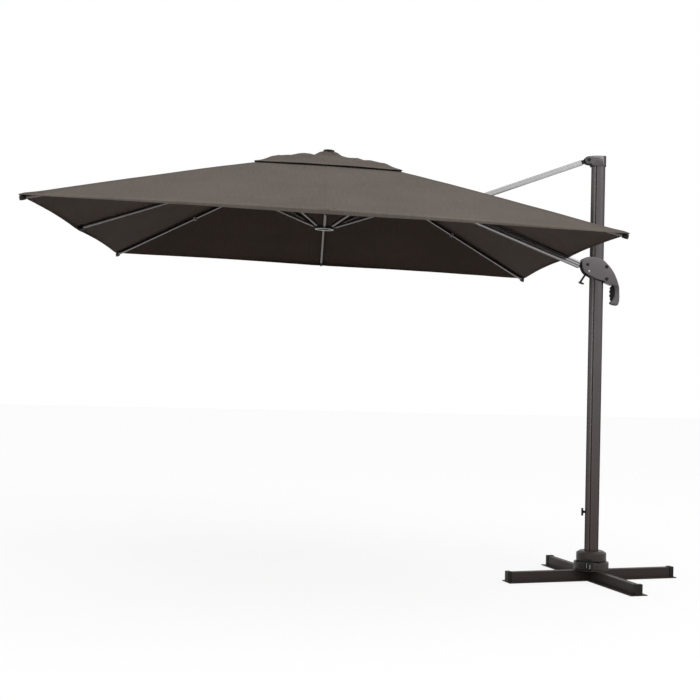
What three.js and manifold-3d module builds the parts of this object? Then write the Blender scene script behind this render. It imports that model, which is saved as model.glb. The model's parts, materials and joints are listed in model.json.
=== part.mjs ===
// Cantilever parasol: a square canopy hung beside a grooved mast on a boom and a tie bar.
// Millimetres, +Z up. The origin is on the floor under the mast's axis, the boom runs towards -X,
// and the carriage's grip is on +X. The parasol stands open; it closes by sliding the carriage down.
import * as THREE from "three";
import { mergeVertices } from "three/addons/utils/BufferGeometryUtils.js";
import Module from "manifold-3d";

const wasm = await Module();
wasm.setup();

// ---------------------------------------------------------------- driving dimensions
// Clearances
const touchGap = 0.4; // between faces that rest on each other
const slideGap = 1; // around the mast, inside the glide
const pinGap = 0.6; // around every pin and bolt, in its hole
const cheekGap = 0.5; // beside a rib, boom or blade, inside its fork or slot

// Cross base
const armLength = 568; // from the mast's axis to a rail's end
const crossTurn = 15.6; // degrees, the first rail against the X axis
const flangeWidth = 108;
const flangeThick = 5;
const railHeight = 62;
const webWidth = 38;
const webWall = 3;
const railCapThick = 30;
const railCapProud = 4;

// Swivel
const swivelRadius = 93;
const swivelFootRadius = 106;
const swivelFootHeight = 42;
const swivelHeight = 46;
const basePlateThick = 6;
const bearingRadius = 76;
const bearingThick = 4;
const collarHeight = 58;
const baseBoltRadius = 4;
const baseBoltHead = 6;

// Mast
const mastWidth = 84;
const mastDepth = 60;
const mastCorner = 26;
const mastWallSide = 2.6;
const mastWallFace = 4.5;
const grooveX = -14;
const grooveWidth = 7;
const grooveDepth = 2.6;
const capRise = 15; // from the top pivot to the mast's top
const knobHeight = 413;

// Fold linkage in the XZ plane: the tie hangs from the top pivot, the boom stands on the carriage pivot
const pivotOut = 23; // from the mast's side to the two pivots
const topPivotZ = 2575;
const carriagePivotZ = 1930;
const tieReach = 875; // horizontal distance from the pivots to the joint of tie and boom
const pivotBolt = 5;
const boomCant = 1.655; // degrees, the boom's tube against the line through its two pivots
const boomJointDrop = 10.5; // from the boom's centre line down to the tie's joint

// Tie bar and boom sections
const tieThick = 16;
const tieHeight = 34;
const tieWall = 2;
const tieForkLength = 150;
const boomWidth = 40;
const boomHeight = 42;
const boomWall = 2;
const cheekThick = 5;

// Canopy
const canopyClear = 122; // from the mast's side to the canopy's near edge
const canopyHalf = 1500;
const canopyPitch = 0.366;
const midDrop = canopyPitch * canopyHalf; // from the top to the middle of an edge
const boomDrop = midDrop - 12; // the same on the edge that the boom carries
const cornerDrop = midDrop + 19;
const clothThick = 0.9;
const edgeInset = 12; // how far an edge curves in between two ribs
const ventHole = 300;
const ventHalf = 429;
const ventLift = 14;
const clothGap = 0.6; // from a rib's top to the cloth
const tieSlotLength = 300;
const tieSlotWidth = 62;

// Hub, runner, ribs and struts
const hingeRadius = 45; // of the rib hinges on the hub and of the strut hinges on the runner
const hubRadius = 56;
const runnerRadius = 59;
const coreRadius = 30;
const capBore = 12; // of the hub's boss, which the cap closes over
const bladeThick = 6;
const boomBladeThick = 12;
const ribWidth = 14;
const ribHeight = 20;
const ribWall = 1.5;
const midAttach = 627; // hinge to strut pin along a middle rib, and the length of its strut
const cornerAttach = 605; // hinge to strut pin along a corner rib
const strutWidth = 16;
const strutHeight = 16;
const strutWall = 1.3;
const hingePin = 3;

// Carriage
const plateInner = 37; // from the mast's middle plane to the housing's inside
const plateThick = 8;
const gripHalfThick = 17;
const glideWall = 5;
const leverShaft = 5;

const rad = THREE.MathUtils.degToRad;

// ---------------------------------------------------------------- fold linkage
// Tie and lower boom are equally long, so the carriage runs straight down the mast as they fold.
const pivotX = -mastWidth / 2 - pivotOut;
const jointX = pivotX - tieReach;
const jointZ = (topPivotZ + carriagePivotZ) / 2;
const tieAngle = Math.atan2(topPivotZ - jointZ, tieReach);
const tieLength = Math.hypot(tieReach, topPivotZ - jointZ);
const mastTop = topPivotZ + capRise;
const hubX = -mastWidth / 2 - canopyClear - canopyHalf;
const midAngle = Math.atan2(midDrop, canopyHalf);
const boomSlope = Math.atan2(boomDrop, canopyHalf); // in the canopy's frame
const boomWorldAngle = tieAngle + rad(boomCant);
const canopyTilt = boomWorldAngle - boomSlope; // the mast side hangs lower

// ---------------------------------------------------------------- materials
const finish = (color, roughness, metalness) =>
  new THREE.MeshStandardMaterial({ color, roughness, metalness });
const materials = {
  base: () => finish(0x37312e, 0.6, 0.3),
  mast: () => finish(0x5c5655, 0.4, 0.7),
  boom: () => finish(0x8c8889, 0.35, 0.8),
  tie: () => finish(0xb9b9ba, 0.3, 0.9),
  cap: () => finish(0x7d7a7b, 0.25, 0.8),
  housing: () => finish(0x736e71, 0.45, 0.4),
  rib: () => finish(0x2b2826, 0.45, 0.6),
  plastic: () => finish(0x161515, 0.6, 0),
  rubber: () => finish(0x1a1918, 0.9, 0),
  steel: () => finish(0x8f8f90, 0.3, 1),
  cloth: () => finish(0x4d4642, 0.95, 0),
};

// ---------------------------------------------------------------- geometry helpers
function solid(geometry) {
  const bare = geometry.index ? geometry.toNonIndexed() : geometry.clone();
  for (const name of Object.keys(bare.attributes)) {
    if (name !== "position") bare.deleteAttribute(name);
  }
  const merged = mergeVertices(bare, 1e-4);
  const mesh = new wasm.Mesh({
    numProp: 3,
    vertProperties: new Float32Array(merged.attributes.position.array),
    triVerts: new Uint32Array(merged.index.array),
  });
  return new wasm.Manifold(mesh);
}

function geometryOf(manifold) {
  const mesh = manifold.getMesh();
  const geometry = new THREE.BufferGeometry();
  geometry.setAttribute("position", new THREE.BufferAttribute(mesh.vertProperties, 3));
  geometry.setIndex(new THREE.BufferAttribute(mesh.triVerts, 1));
  geometry.computeVertexNormals();
  return geometry;
}

function join(...geometries) {
  return geometryOf(geometries.map(solid).reduce((a, b) => a.add(b)));
}

function cut(geometry, ...tools) {
  return geometryOf(tools.map(solid).reduce((a, b) => a.subtract(b), solid(geometry)));
}

const moved = (geometry, x, y, z) => geometry.clone().translate(x, y, z);

const box = (x0, x1, y0, y1, z0, z1) =>
  moved(new THREE.BoxGeometry(x1 - x0, y1 - y0, z1 - z0), (x0 + x1) / 2, (y0 + y1) / 2, (z0 + z1) / 2);

function roundedRect(width, height, radius) {
  const w = width / 2;
  const h = height / 2;
  const shape = new THREE.Shape();
  shape.moveTo(w, -h + radius);
  shape.lineTo(w, h - radius);
  shape.absarc(w - radius, h - radius, radius, 0, Math.PI / 2);
  shape.lineTo(-w + radius, h);
  shape.absarc(-w + radius, h - radius, radius, Math.PI / 2, Math.PI);
  shape.lineTo(-w, -h + radius);
  shape.absarc(-w + radius, -h + radius, radius, Math.PI, 1.5 * Math.PI);
  shape.lineTo(w - radius, -h);
  shape.absarc(w - radius, -h + radius, radius, 1.5 * Math.PI, 2 * Math.PI);
  return shape;
}

const extrude = (shape, depth, curveSegments = 4) =>
  new THREE.ExtrudeGeometry(shape, { depth, curveSegments, bevelEnabled: false });

// An outline in the XZ plane, from one Y to another.
const plate = (shape, y0, y1, curveSegments = 6) =>
  moved(extrude(shape, y1 - y0, curveSegments).rotateX(Math.PI / 2), 0, y1, 0);

// A section whose width lies along Y and height along Z, run along +X from x0 to x1.
function beam(shape, x0, x1, curveSegments = 1) {
  const axes = new THREE.Matrix4().makeBasis(
    new THREE.Vector3(0, 1, 0),
    new THREE.Vector3(0, 0, 1),
    new THREE.Vector3(1, 0, 0),
  );
  return moved(extrude(shape, x1 - x0, curveSegments).applyMatrix4(axes), x0, 0, 0);
}

// A round bar along Y through (x, z).
const crossPin = (radius, x, z, y0, y1, sides = 10) =>
  moved(new THREE.CylinderGeometry(radius, radius, y1 - y0, sides), x, (y0 + y1) / 2, z);

// A round bar along Z through (x, y).
const post = (radius, x, y, z0, z1, sides = 24) =>
  moved(
    new THREE.CylinderGeometry(radius, radius, z1 - z0, sides).rotateX(Math.PI / 2),
    x,
    y,
    (z0 + z1) / 2,
  );

const lathe = (points, sides = 40) =>
  new THREE.LatheGeometry(
    points.map(([r, z]) => new THREE.Vector2(r, z)),
    sides,
  ).rotateX(Math.PI / 2);

function shapeOf(points) {
  const shape = new THREE.Shape();
  shape.setFromPoints(points.map(([x, z]) => new THREE.Vector2(x, z)));
  return shape;
}

// An outline in the XZ plane: each row after the first is a line's end, or a curve's control point and end.
function outline(start, ...rows) {
  const shape = new THREE.Shape();
  shape.moveTo(...start);
  for (const row of rows) {
    if (row.length === 2) shape.lineTo(...row);
    else shape.quadraticCurveTo(...row);
  }
  return shape;
}

function tubeSection(width, height, radius, wall, innerWall = wall) {
  const shape = roundedRect(width, height, radius);
  const inner = roundedRect(width - 2 * wall, height - 2 * innerWall, Math.max(radius - wall, 0.5));
  shape.holes.push(inner);
  return shape;
}

const root = new THREE.Group();

function piece(name, geometry, material, parent = root) {
  const mesh = new THREE.Mesh(geometry, material());
  mesh.name = name;
  parent.add(mesh);
  return mesh;
}

function frameAt(parent, x, z, turnY = 0) {
  const group = new THREE.Group();
  group.position.set(x, 0, z);
  group.rotation.y = turnY;
  parent.add(group);
  return group;
}

// ---------------------------------------------------------------- heights of the base stack
const basePlateZ = railHeight + touchGap;
const swivelZ = basePlateZ + basePlateThick + touchGap;
const bearingZ = swivelZ + swivelHeight + touchGap;
const collarZ = bearingZ + bearingThick + touchGap;
const boltCircle = (swivelRadius + swivelFootRadius) / 2;

// ---------------------------------------------------------------- cross base
// Each rail is a flat flange with a hollow box web on it; the two rails halve into each other.
function railSection() {
  const flange = flangeWidth / 2;
  const web = webWidth / 2;
  const shape = shapeOf([
    [-flange, 0],
    [flange, 0],
    [flange, flangeThick],
    [web, flangeThick],
    [web, railHeight],
    [-web, railHeight],
    [-web, flangeThick],
    [-flange, flangeThick],
  ]);
  const inner = roundedRect(webWidth - 2 * webWall, railHeight - flangeThick - webWall, 1);
  const hole = inner.getPoints(1).map((p) => new THREE.Vector2(p.x, p.y + (railHeight + flangeThick - webWall) / 2));
  shape.holes.push(new THREE.Path(hole));
  return shape;
}

function rail(name, turn, halving) {
  const group = new THREE.Group();
  group.rotation.z = rad(turn);
  root.add(group);
  const bolts = [-1, 1].map((side) =>
    post(baseBoltRadius + pinGap, side * boltCircle, 0, railHeight - webWall - 2, railHeight + 1, 10),
  );
  // The flange runs on to the end under the plug, where the web stops short.
  const webEnds = [-1, 1].map((side) => {
    const ends = [side * (armLength - railCapThick - touchGap), side * (armLength + 1)].sort((a, b) => a - b);
    return box(...ends, -webWidth, webWidth, flangeThick, railHeight + 1);
  });
  piece(name, cut(beam(railSection(), -armLength, armLength), ...halving, ...bolts, ...webEnds), materials.base, group);
  for (const side of [-1, 1]) railCap(`${name}_cap_${side < 0 ? "a" : "b"}`, side, group);
}

function railCap(name, side, parent) {
  const face = box(
    armLength - railCapThick,
    armLength - 2,
    -webWidth / 2 - railCapProud,
    webWidth / 2 + railCapProud,
    flangeThick + touchGap,
    railHeight + railCapProud,
  );
  const plugInset = webWall + touchGap;
  const plug = box(
    armLength - 2 * railCapThick,
    armLength - railCapThick / 2,
    -webWidth / 2 + plugInset,
    webWidth / 2 - plugInset,
    flangeThick + touchGap,
    railHeight - plugInset,
  );
  const holder = new THREE.Group();
  holder.rotation.z = side < 0 ? Math.PI : 0;
  parent.add(holder);
  piece(name, join(face, plug), materials.plastic, holder);
}

const halvingZ = (flangeThick + railHeight) / 2;
const webHalf = webWidth / 2 + touchGap;
const flangeHalf = flangeWidth / 2 + touchGap;
rail("base_rail_lower", crossTurn, [
  box(-webHalf, webHalf, -webWidth, webWidth, halvingZ, railHeight + 1),
]);
rail("base_rail_upper", crossTurn + 90, [
  box(-webHalf, webHalf, -webWidth, webWidth, -1, halvingZ + touchGap),
  box(-flangeHalf, flangeHalf, -flangeWidth, flangeWidth, -1, flangeThick + touchGap),
]);

// ---------------------------------------------------------------- swivel base
const boltSpots = [0, 90, 180, 270].map((turn) => {
  const angle = rad(crossTurn + turn);
  return [boltCircle * Math.cos(angle), boltCircle * Math.sin(angle)];
});
const boltHoles = (z0, z1) =>
  boltSpots.map(([x, y]) => post(baseBoltRadius + pinGap, x, y, z0, z1, 10));

piece(
  "base_plate",
  cut(
    post(swivelFootRadius, 0, 0, basePlateZ, basePlateZ + basePlateThick, 40),
    ...boltHoles(basePlateZ - 1, basePlateZ + basePlateThick + 1),
  ),
  materials.base,
);

// The foot pedal faces the front left of the cross and turns on a pin in the swivel base's wall.
const pedalTurn = -118;
const pedalWidth = 58;
const pedalZ = swivelZ + 24;
const pedalReach = 130;
const pedalHood = swivelFootRadius + 4;
const pedalHinge = swivelRadius - 9;
const pedalPinHalf = pedalWidth / 2 + 5;
const pedalHole = (half) => crossPin(hingePin + pinGap, pedalHinge, pedalZ, -half, half);

function swivelBase() {
  const wall = 6;
  const top = swivelZ + swivelHeight;
  const shell = lathe([
    [0, top - wall],
    [swivelRadius - wall, top - wall],
    [swivelRadius - wall, swivelZ],
    [swivelFootRadius, swivelZ],
    [swivelFootRadius, swivelZ + swivelFootHeight],
    [swivelRadius, swivelZ + swivelFootHeight],
    [swivelRadius, top],
    [0, top],
  ]);
  const half = pedalWidth / 2 + cheekGap;
  const pocket = box(pedalHinge - 16, swivelFootRadius + 20, -half, half, swivelZ - 1, pedalZ + 14);
  return cut(
    shell,
    pocket.rotateZ(rad(pedalTurn)),
    pedalHole(pedalPinHalf + 0.5).rotateZ(rad(pedalTurn)),
    ...boltHoles(swivelZ - 1, swivelZ + swivelFootHeight + 1),
  );
}
piece("swivel_base", swivelBase(), materials.base);

boltSpots.forEach(([x, y], i) => {
  const seat = swivelZ + swivelFootHeight;
  const shank = post(baseBoltRadius, x, y, railHeight - webWall, seat + 3, 10);
  const head = post(baseBoltHead, x, y, seat + touchGap, seat + 8, 6);
  piece(`base_bolt_${i + 1}`, join(shank, head), materials.steel);
});

// A neck on the pin, and outside the swivel base's wall a wider hood for the shoe.
function footPedal() {
  const half = pedalWidth / 2;
  const neck = plate(
    shapeOf([
      [pedalHinge - 8, pedalZ - 8],
      [pedalHood + 4, pedalZ - 8],
      [pedalHood + 4, pedalZ + 9],
      [pedalHinge - 8, pedalZ + 9],
    ]),
    -half,
    half,
  );
  const hood = outline(
    [pedalHood, pedalZ - 14],
    [pedalReach - 4, pedalZ - 16],
    [pedalReach + 1, pedalZ - 6],
    [pedalReach, pedalZ + 20],
    [pedalReach - 2, pedalZ + 38, pedalHood + 4, pedalZ + 39],
    [pedalHood, pedalZ + 37],
    [pedalHood, pedalZ - 14],
  );
  const recess = box(pedalReach - 8, pedalReach + 9, -4, 18, pedalZ - 8, pedalZ + 24);
  return cut(join(neck, plate(hood, -half - 10, half + 10)), pedalHole(pedalWidth), recess);
}
const pedalFrame = new THREE.Group();
pedalFrame.rotation.z = rad(pedalTurn);
root.add(pedalFrame);
piece("foot_pedal", footPedal(), materials.plastic, pedalFrame);
piece(
  "pedal_pin",
  crossPin(hingePin, pedalHinge, pedalZ, -pedalPinHalf, pedalPinHalf),
  materials.steel,
  pedalFrame,
);

piece(
  "bearing_ring",
  cut(
    post(bearingRadius, 0, 0, bearingZ, bearingZ + bearingThick, 40),
    post(bearingRadius - 20, 0, 0, bearingZ - 1, bearingZ + bearingThick + 1, 40),
  ),
  materials.plastic,
);

// ---------------------------------------------------------------- mast
// Oval extrusion with a groove down the front and the back.
const collarFloor = 8;
const knobScrew = 4;

function mastOutline(grow) {
  return roundedRect(mastWidth + 2 * grow, mastDepth + 2 * grow, mastCorner + grow);
}

function mastGrooves(z0, z1) {
  const half = grooveWidth / 2;
  return [-1, 1].map((side) => {
    const y = side * (mastDepth / 2);
    return box(grooveX - half, grooveX + half, y - grooveDepth, y + grooveDepth, z0, z1);
  });
}

function mastTube() {
  const bottom = collarZ + collarFloor;
  const section = tubeSection(mastWidth, mastDepth, mastCorner, mastWallSide, mastWallFace);
  const tube = moved(extrude(section, mastTop - bottom, 6), 0, 0, bottom);
  const screwHole = knobScrew + pinGap;
  const knobHole = new THREE.CylinderGeometry(screwHole, screwHole, 20, 12).rotateZ(Math.PI / 2);
  return cut(tube, ...mastGrooves(bottom - 1, mastTop + 1), moved(knobHole, -mastWidth / 2, 0, knobHeight));
}
piece("mast_tube", mastTube(), materials.mast);

// The collar turns on the bearing ring and holds the mast's foot.
function swivelCollar() {
  const top = collarZ + collarHeight;
  const side = swivelRadius - 2;
  const body = lathe([
    [0, collarZ],
    [side, collarZ],
    [side, top - 10],
    [side - 6, top - 3],
    [side - 18, top],
    [0, top],
  ]);
  const floor = collarZ + collarFloor - touchGap;
  const socket = moved(extrude(mastOutline(touchGap), collarHeight, 6), 0, 0, floor);
  return cut(body, socket);
}
piece("swivel_collar", swivelCollar(), materials.base);

// T-shaped screw that clamps the mast's foot.
function mastKnob() {
  const bossLength = 12;
  const screw = new THREE.CylinderGeometry(knobScrew, knobScrew, 30, 10).rotateZ(Math.PI / 2);
  const boss = new THREE.CylinderGeometry(9, 7, bossLength, 14).rotateZ(Math.PI / 2);
  const bar = new THREE.CylinderGeometry(6.5, 6.5, 46, 12).rotateX(Math.PI / 2);
  const out = -mastWidth / 2;
  return join(
    moved(screw, out - 8, 0, knobHeight),
    moved(boss, out - bossLength / 2 - touchGap, 0, knobHeight),
    moved(bar, out - bossLength - 6, 0, knobHeight),
  );
}
piece("mast_knob", mastKnob(), materials.plastic);

// Cap over the mast's top, with two ears that hold the tie bar.
const capSide = mastDepth / 2 + 4;
const capBack = mastWidth / 2 + 4;
function topCap() {
  const roof = mastTop + 12;
  const hem = mastTop - 52;
  const nose = 24; // round the pivot
  const shape = outline(
    [capBack, hem],
    [capBack, roof],
    [-mastWidth / 4, roof],
    [pivotX + 7, roof - 2, pivotX - 17, topPivotZ + 13],
  );
  shape.absarc(pivotX, topPivotZ, nose, rad(145), rad(262), false);
  shape.lineTo(-capBack, hem + 10);
  shape.lineTo(-capBack, hem);
  const body = plate(shape, -capSide, capSide);
  const socket = moved(extrude(mastOutline(touchGap), capBack, 6), 0, 0, mastTop + touchGap - capBack);
  const skirt = moved(extrude(mastOutline(touchGap), capBack, 6), 0, 0, hem - 10);
  const slotHalf = tieThick / 2 + cheekGap;
  const slot = box(pivotX - 3 * nose, -capBack, -slotHalf, slotHalf, hem - 20, topPivotZ + nose - 5);
  const bolt = crossPin(pivotBolt + pinGap, pivotX, topPivotZ, -capSide - 1, capSide + 1);
  return cut(body, socket, skirt, slot, bolt);
}
piece("mast_top_cap", topCap(), materials.cap);

function bolt(x, z, halfWidth, shank, head, headThick) {
  return join(
    crossPin(shank, x, z, -halfWidth - headThick / 2, halfWidth + headThick / 2),
    crossPin(head, x, z, halfWidth + touchGap, halfWidth + headThick, 12),
    crossPin(head, x, z, -halfWidth - headThick, -halfWidth - touchGap, 12),
  );
}
piece("top_pivot_bolt", bolt(pivotX, topPivotZ, capSide, pivotBolt, 10, 4), materials.steel);

// ---------------------------------------------------------------- tie bar
const tieFrame = frameAt(root, jointX, jointZ, -tieAngle); // +X runs up the bar to the top pivot
const tieTubeEnd = tieLength - 44;
const tieSection = tubeSection(tieThick, tieHeight, 7, tieWall);
const tiePlug = () => roundedRect(tieThick - 2 * tieWall - 2 * touchGap, tieHeight - 2 * tieWall - 2 * touchGap, 4);

piece("tie_bar", beam(tieSection, tieForkLength + 20, tieTubeEnd, 4), materials.tie, tieFrame);

function tieFork() {
  const inner = boomWidth / 2 + cheekGap;
  const outer = inner + cheekThick;
  const cheekShape = new THREE.Shape();
  cheekShape.absarc(0, 0, 13, Math.PI / 2, 1.5 * Math.PI);
  cheekShape.lineTo(tieForkLength + 8, -15);
  cheekShape.lineTo(tieForkLength + 8, 15);
  const cheeks = [plate(cheekShape, inner, outer), plate(cheekShape, -outer, -inner)];
  const bridge = box(tieForkLength, tieForkLength + 20 - touchGap, -outer, outer, -16, 16);
  const plug = beam(tiePlug(), tieForkLength + 10, tieForkLength + 50);
  return cut(join(...cheeks, bridge, plug), crossPin(pivotBolt + pinGap, 0, 0, -outer - 1, outer + 1));
}
piece("tie_fork", tieFork(), materials.plastic, tieFrame);

function tieEye() {
  const plug = beam(tiePlug(), tieTubeEnd - 40, tieTubeEnd + 5);
  const arm = box(tieTubeEnd + touchGap, tieLength, -tieThick / 2, tieThick / 2, -13, 13);
  const eye = crossPin(15, tieLength, 0, -tieThick / 2, tieThick / 2, 20);
  const hole = crossPin(pivotBolt + pinGap, tieLength, 0, -tieThick, tieThick);
  return cut(join(plug, arm, eye), hole);
}
piece("tie_eye", tieEye(), materials.plastic, tieFrame);

// ---------------------------------------------------------------- canopy frame of reference
// Z = 0 at the canopy's top, X towards the mast. The cloth lies on the boom, whose centre line sets
// how high the top stands.
const boomLineZ = (x) =>
  jointZ + boomJointDrop / Math.cos(boomWorldAngle) + (jointX - x) * Math.tan(boomWorldAngle);
const canopyTop = boomLineZ(hubX) + (boomHeight / 2 + clothGap) / Math.cos(boomWorldAngle);
const canopyFrame = frameAt(root, hubX, canopyTop, canopyTilt);

function toWorld(r, z) {
  const c = Math.cos(canopyTilt);
  const s = Math.sin(canopyTilt);
  return [hubX + r * c + z * s, canopyTop - r * s + z * c];
}

const ribSeat = (ribHeight / 2 + clothGap) / Math.cos(midAngle);
const hingeZ = -(hingeRadius * midDrop) / canopyHalf - ribSeat;
const cornerReach = canopyHalf * Math.SQRT2;
// The cloth falls away beside a corner ridge, so a corner rib lies this much lower than a middle one.
const ridgeFall = ((ribWidth / 2) * (2 * midDrop - cornerDrop)) / canopyHalf / Math.SQRT2;
const cornerAngle = Math.atan2(cornerDrop + ribSeat + ridgeFall + hingeZ, cornerReach - hingeRadius);
const runnerZ = hingeZ - 2 * midAttach * Math.sin(midAngle);

// ---------------------------------------------------------------- boom
const boomSeat = (boomHeight / 2 + clothGap) / Math.cos(boomSlope);
const [boomStartX, boomStartZ] = toWorld(hingeRadius, -(hingeRadius * boomDrop) / canopyHalf - boomSeat);
const boomFrame = frameAt(root, boomStartX, boomStartZ, boomWorldAngle); // +X runs down to the carriage

// A world point of the XZ plane in the boom's own frame.
function inBoom(x, z) {
  const c = Math.cos(boomWorldAngle);
  const s = Math.sin(boomWorldAngle);
  const dx = x - boomStartX;
  const dz = z - boomStartZ;
  return [dx * c - dz * s, dx * s + dz * c];
}
const boomHub = inBoom(...toWorld(hingeRadius, hingeZ));
const boomTie = inBoom(jointX, jointZ);
const boomFoot = inBoom(pivotX, carriagePivotZ);
const boomStrut = inBoom(
  ...toWorld(hingeRadius + midAttach * Math.cos(midAngle), hingeZ - midAttach * Math.sin(midAngle)),
);
const boomTubeStart = 60;
const boomTubeEnd = boomFoot[0] - 42;

function boomSection() {
  const w = boomWidth / 2;
  const h = boomHeight / 2;
  const r = 5;
  const notch = 1.4;
  const side = (s) =>
    [
      [w - r, h],
      [w - r * 0.3, h - r * 0.3],
      [w, h - r],
      [w, 9],
      [w - notch, 7.5],
      [w, 6],
      [w, -6],
      [w - notch, -7.5],
      [w, -9],
      [w, -h + r],
      [w - r * 0.3, -h + r * 0.3],
      [w - r, -h],
    ].map(([y, z]) => [s * y, s * z]);
  const shape = shapeOf([...side(1), ...side(-1)]);
  shape.holes.push(roundedRect(boomWidth - 2 * boomWall - 3, boomHeight - 2 * boomWall, 3));
  return shape;
}

function boomTube() {
  const y = boomWidth / 2 + 1;
  return cut(
    beam(boomSection(), boomTubeStart, boomTubeEnd),
    crossPin(pivotBolt + pinGap, ...boomTie, -y, y),
    crossPin(hingePin + pinGap, ...boomStrut, -y, y),
  );
}
piece("boom_tube", boomTube(), materials.boom, boomFrame);

const boomPlug = (x0, x1) =>
  beam(
    roundedRect(boomWidth - 2 * boomWall - 3 - 2 * touchGap, boomHeight - 2 * boomWall - 2 * touchGap, 2),
    x0,
    x1,
  );

function boomHead() {
  const [x, z] = boomHub;
  const half = boomBladeThick / 2;
  const neck = boomTubeStart - 20;
  const w = boomWidth / 2;
  const h = boomHeight / 2;
  const blade = plate(
    shapeOf([
      [x, z + 7],
      [neck, h - 6],
      [boomTubeStart + 4, h - 6],
      [boomTubeStart + 4, 6 - h],
      [neck, 8 - h],
      [x, z - 7],
    ].reverse()),
    -half,
    half,
  );
  const eye = crossPin(7, x, z, -half, half, 16);
  const collar = box(neck + 8, boomTubeStart - touchGap, -w, w, -h, h - 2);
  const hole = crossPin(hingePin + pinGap, x, z, -half - 1, half + 1);
  return cut(join(blade, eye, collar, boomPlug(boomTubeStart - 4, boomTubeStart + 50)), hole);
}
piece("boom_head", boomHead(), materials.plastic, boomFrame);

function boomFootFitting() {
  const [x, z] = boomFoot;
  const eyeHalf = plateInner - cheekGap;
  const arm = plate(
    shapeOf([
      [boomTubeEnd + touchGap, -boomHeight / 2 + 2],
      [x - 6, z - 13],
      [x, z + 13],
      [boomTubeEnd + touchGap, boomHeight / 2],
    ]),
    -boomWidth / 2,
    boomWidth / 2,
  );
  const eye = crossPin(14, x, z, -eyeHalf, eyeHalf, 20);
  const hole = crossPin(pivotBolt + pinGap, x, z, -eyeHalf - 1, eyeHalf + 1);
  return cut(join(arm, eye, boomPlug(boomTubeEnd - 50, boomTubeEnd + 4)), hole);
}
piece("boom_foot", boomFootFitting(), materials.plastic, boomFrame);

piece(
  "tie_pivot_bolt",
  moved(bolt(0, 0, boomWidth / 2 + cheekGap + cheekThick, pivotBolt, 9, 4), boomTie[0], 0, boomTie[1]),
  materials.steel,
  boomFrame,
);

// ---------------------------------------------------------------- carriage
// Two housing halves close round the mast, a glide and the boom's foot; their tail is the grip.
const carriageFrame = frameAt(root, 0, carriagePivotZ);
const mastSide = mastWidth / 2;

function housingOutline() {
  const m = mastSide;
  const p = pivotX;
  return outline(
    [p - 34, 6],
    [p - 36, 26, p - 20, 39],
    [p - 2, 49, p + 30, 48],
    [m - 26, 47, m + 3, 20],
    [m + 53, -26, m + 73, -78],
    [m + 86, -106, m + 92, -130],
    [m + 42, -120],
    [m + 12, -107, m - 19, -97],
    [m - 62, -86, m - 92, -68],
    [p - 27, -54, p - 34, 6],
  );
}

function gripOutline() {
  const m = mastSide;
  return outline(
    [m + 12, 4],
    [m + 70, -56, m + 88, -114],
    [m + 101, -156, m + 102, -194],
    [m + 103, -224, m + 94, -238],
    [m + 74, -258, m + 46, -244],
    [m + 36, -238, m + 40, -227],
    [m + 50, -219],
    [m + 84, -176, m + 60, -124],
    [m + 18, -100],
  );
}

const glideHalfX = mastSide + slideGap + glideWall;
const leverX = pivotX + 9;
const leverZ = -42;
const screwSpots = [
  [mastSide + 11, -11],
  [mastSide + 12, -86],
];

function housingHalf(side) {
  const y = (a, b) => (side < 0 ? [-b, -a] : [a, b]);
  const cheek = plate(housingOutline(), ...y(plateInner, plateInner + plateThick));
  const grip = plate(gripOutline(), ...y(touchGap / 2, gripHalfThick));
  const webStart = glideHalfX + touchGap;
  const web = housingBlock(webStart, webStart + 48, ...y(touchGap / 2, plateInner + 1));
  const hole = (radius, x, z) => crossPin(radius + pinGap, x, z, ...y(-1, plateInner + plateThick + 1));
  return cut(
    join(cheek, web, grip),
    hole(pivotBolt, pivotX, 0),
    hole(leverShaft, leverX, leverZ),
    ...screwSpots.map(([x, z]) => hole(hingePin, x, z)),
  );
}

// The part of the housing's outline between two X values, as a block from one Y to another.
function housingBlock(x0, x1, y0, y1) {
  const whole = solid(plate(housingOutline(), y0, y1));
  return geometryOf(whole.intersect(solid(box(x0, x1, y0 - 1, y1 + 1, -200, 100))));
}
piece("housing_front", housingHalf(-1), materials.housing, carriageFrame);
piece("housing_rear", housingHalf(1), materials.housing, carriageFrame);

function glide() {
  const halfY = plateInner - touchGap;
  const bottom = -62;
  const top = 20;
  const body = box(-glideHalfX, glideHalfX, -halfY, halfY, bottom, top);
  return cut(body, moved(extrude(mastOutline(slideGap), 120, 6), 0, 0, bottom - 18));
}
piece("carriage_glide", glide(), materials.plastic, carriageFrame);

// Rubber insert with four finger hollows along the inside of the grip.
function gripPad() {
  const m = mastSide;
  const top = -124;
  const pitch = 25;
  const hollow = (i) => [m + 35, top + 1 - (i + 0.5) * pitch, m + 48, top + 1 - (i + 1) * pitch];
  const shape = outline(
    [m + 59.4, top],
    ...[0, 1, 2].map(hollow),
    [m + 43, top - 84, m + 49.2, top - 93],
    [m + 49.4, top - 93.8],
    [m + 83.4, top - 52, m + 59.4, top],
  );
  return plate(shape, -gripHalfThick + 3, gripHalfThick - 3);
}
piece("grip_pad", gripPad(), materials.rubber, carriageFrame);

const housingHalfY = plateInner + plateThick;
piece(
  "boom_pivot_bolt",
  bolt(pivotX, 0, housingHalfY, pivotBolt, 9, 4),
  materials.steel,
  carriageFrame,
);
screwSpots.forEach(([x, z], i) => {
  piece(`housing_screw_${i + 1}`, bolt(x, z, housingHalfY, hingePin, 6, 3), materials.steel, carriageFrame);
});

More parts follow.
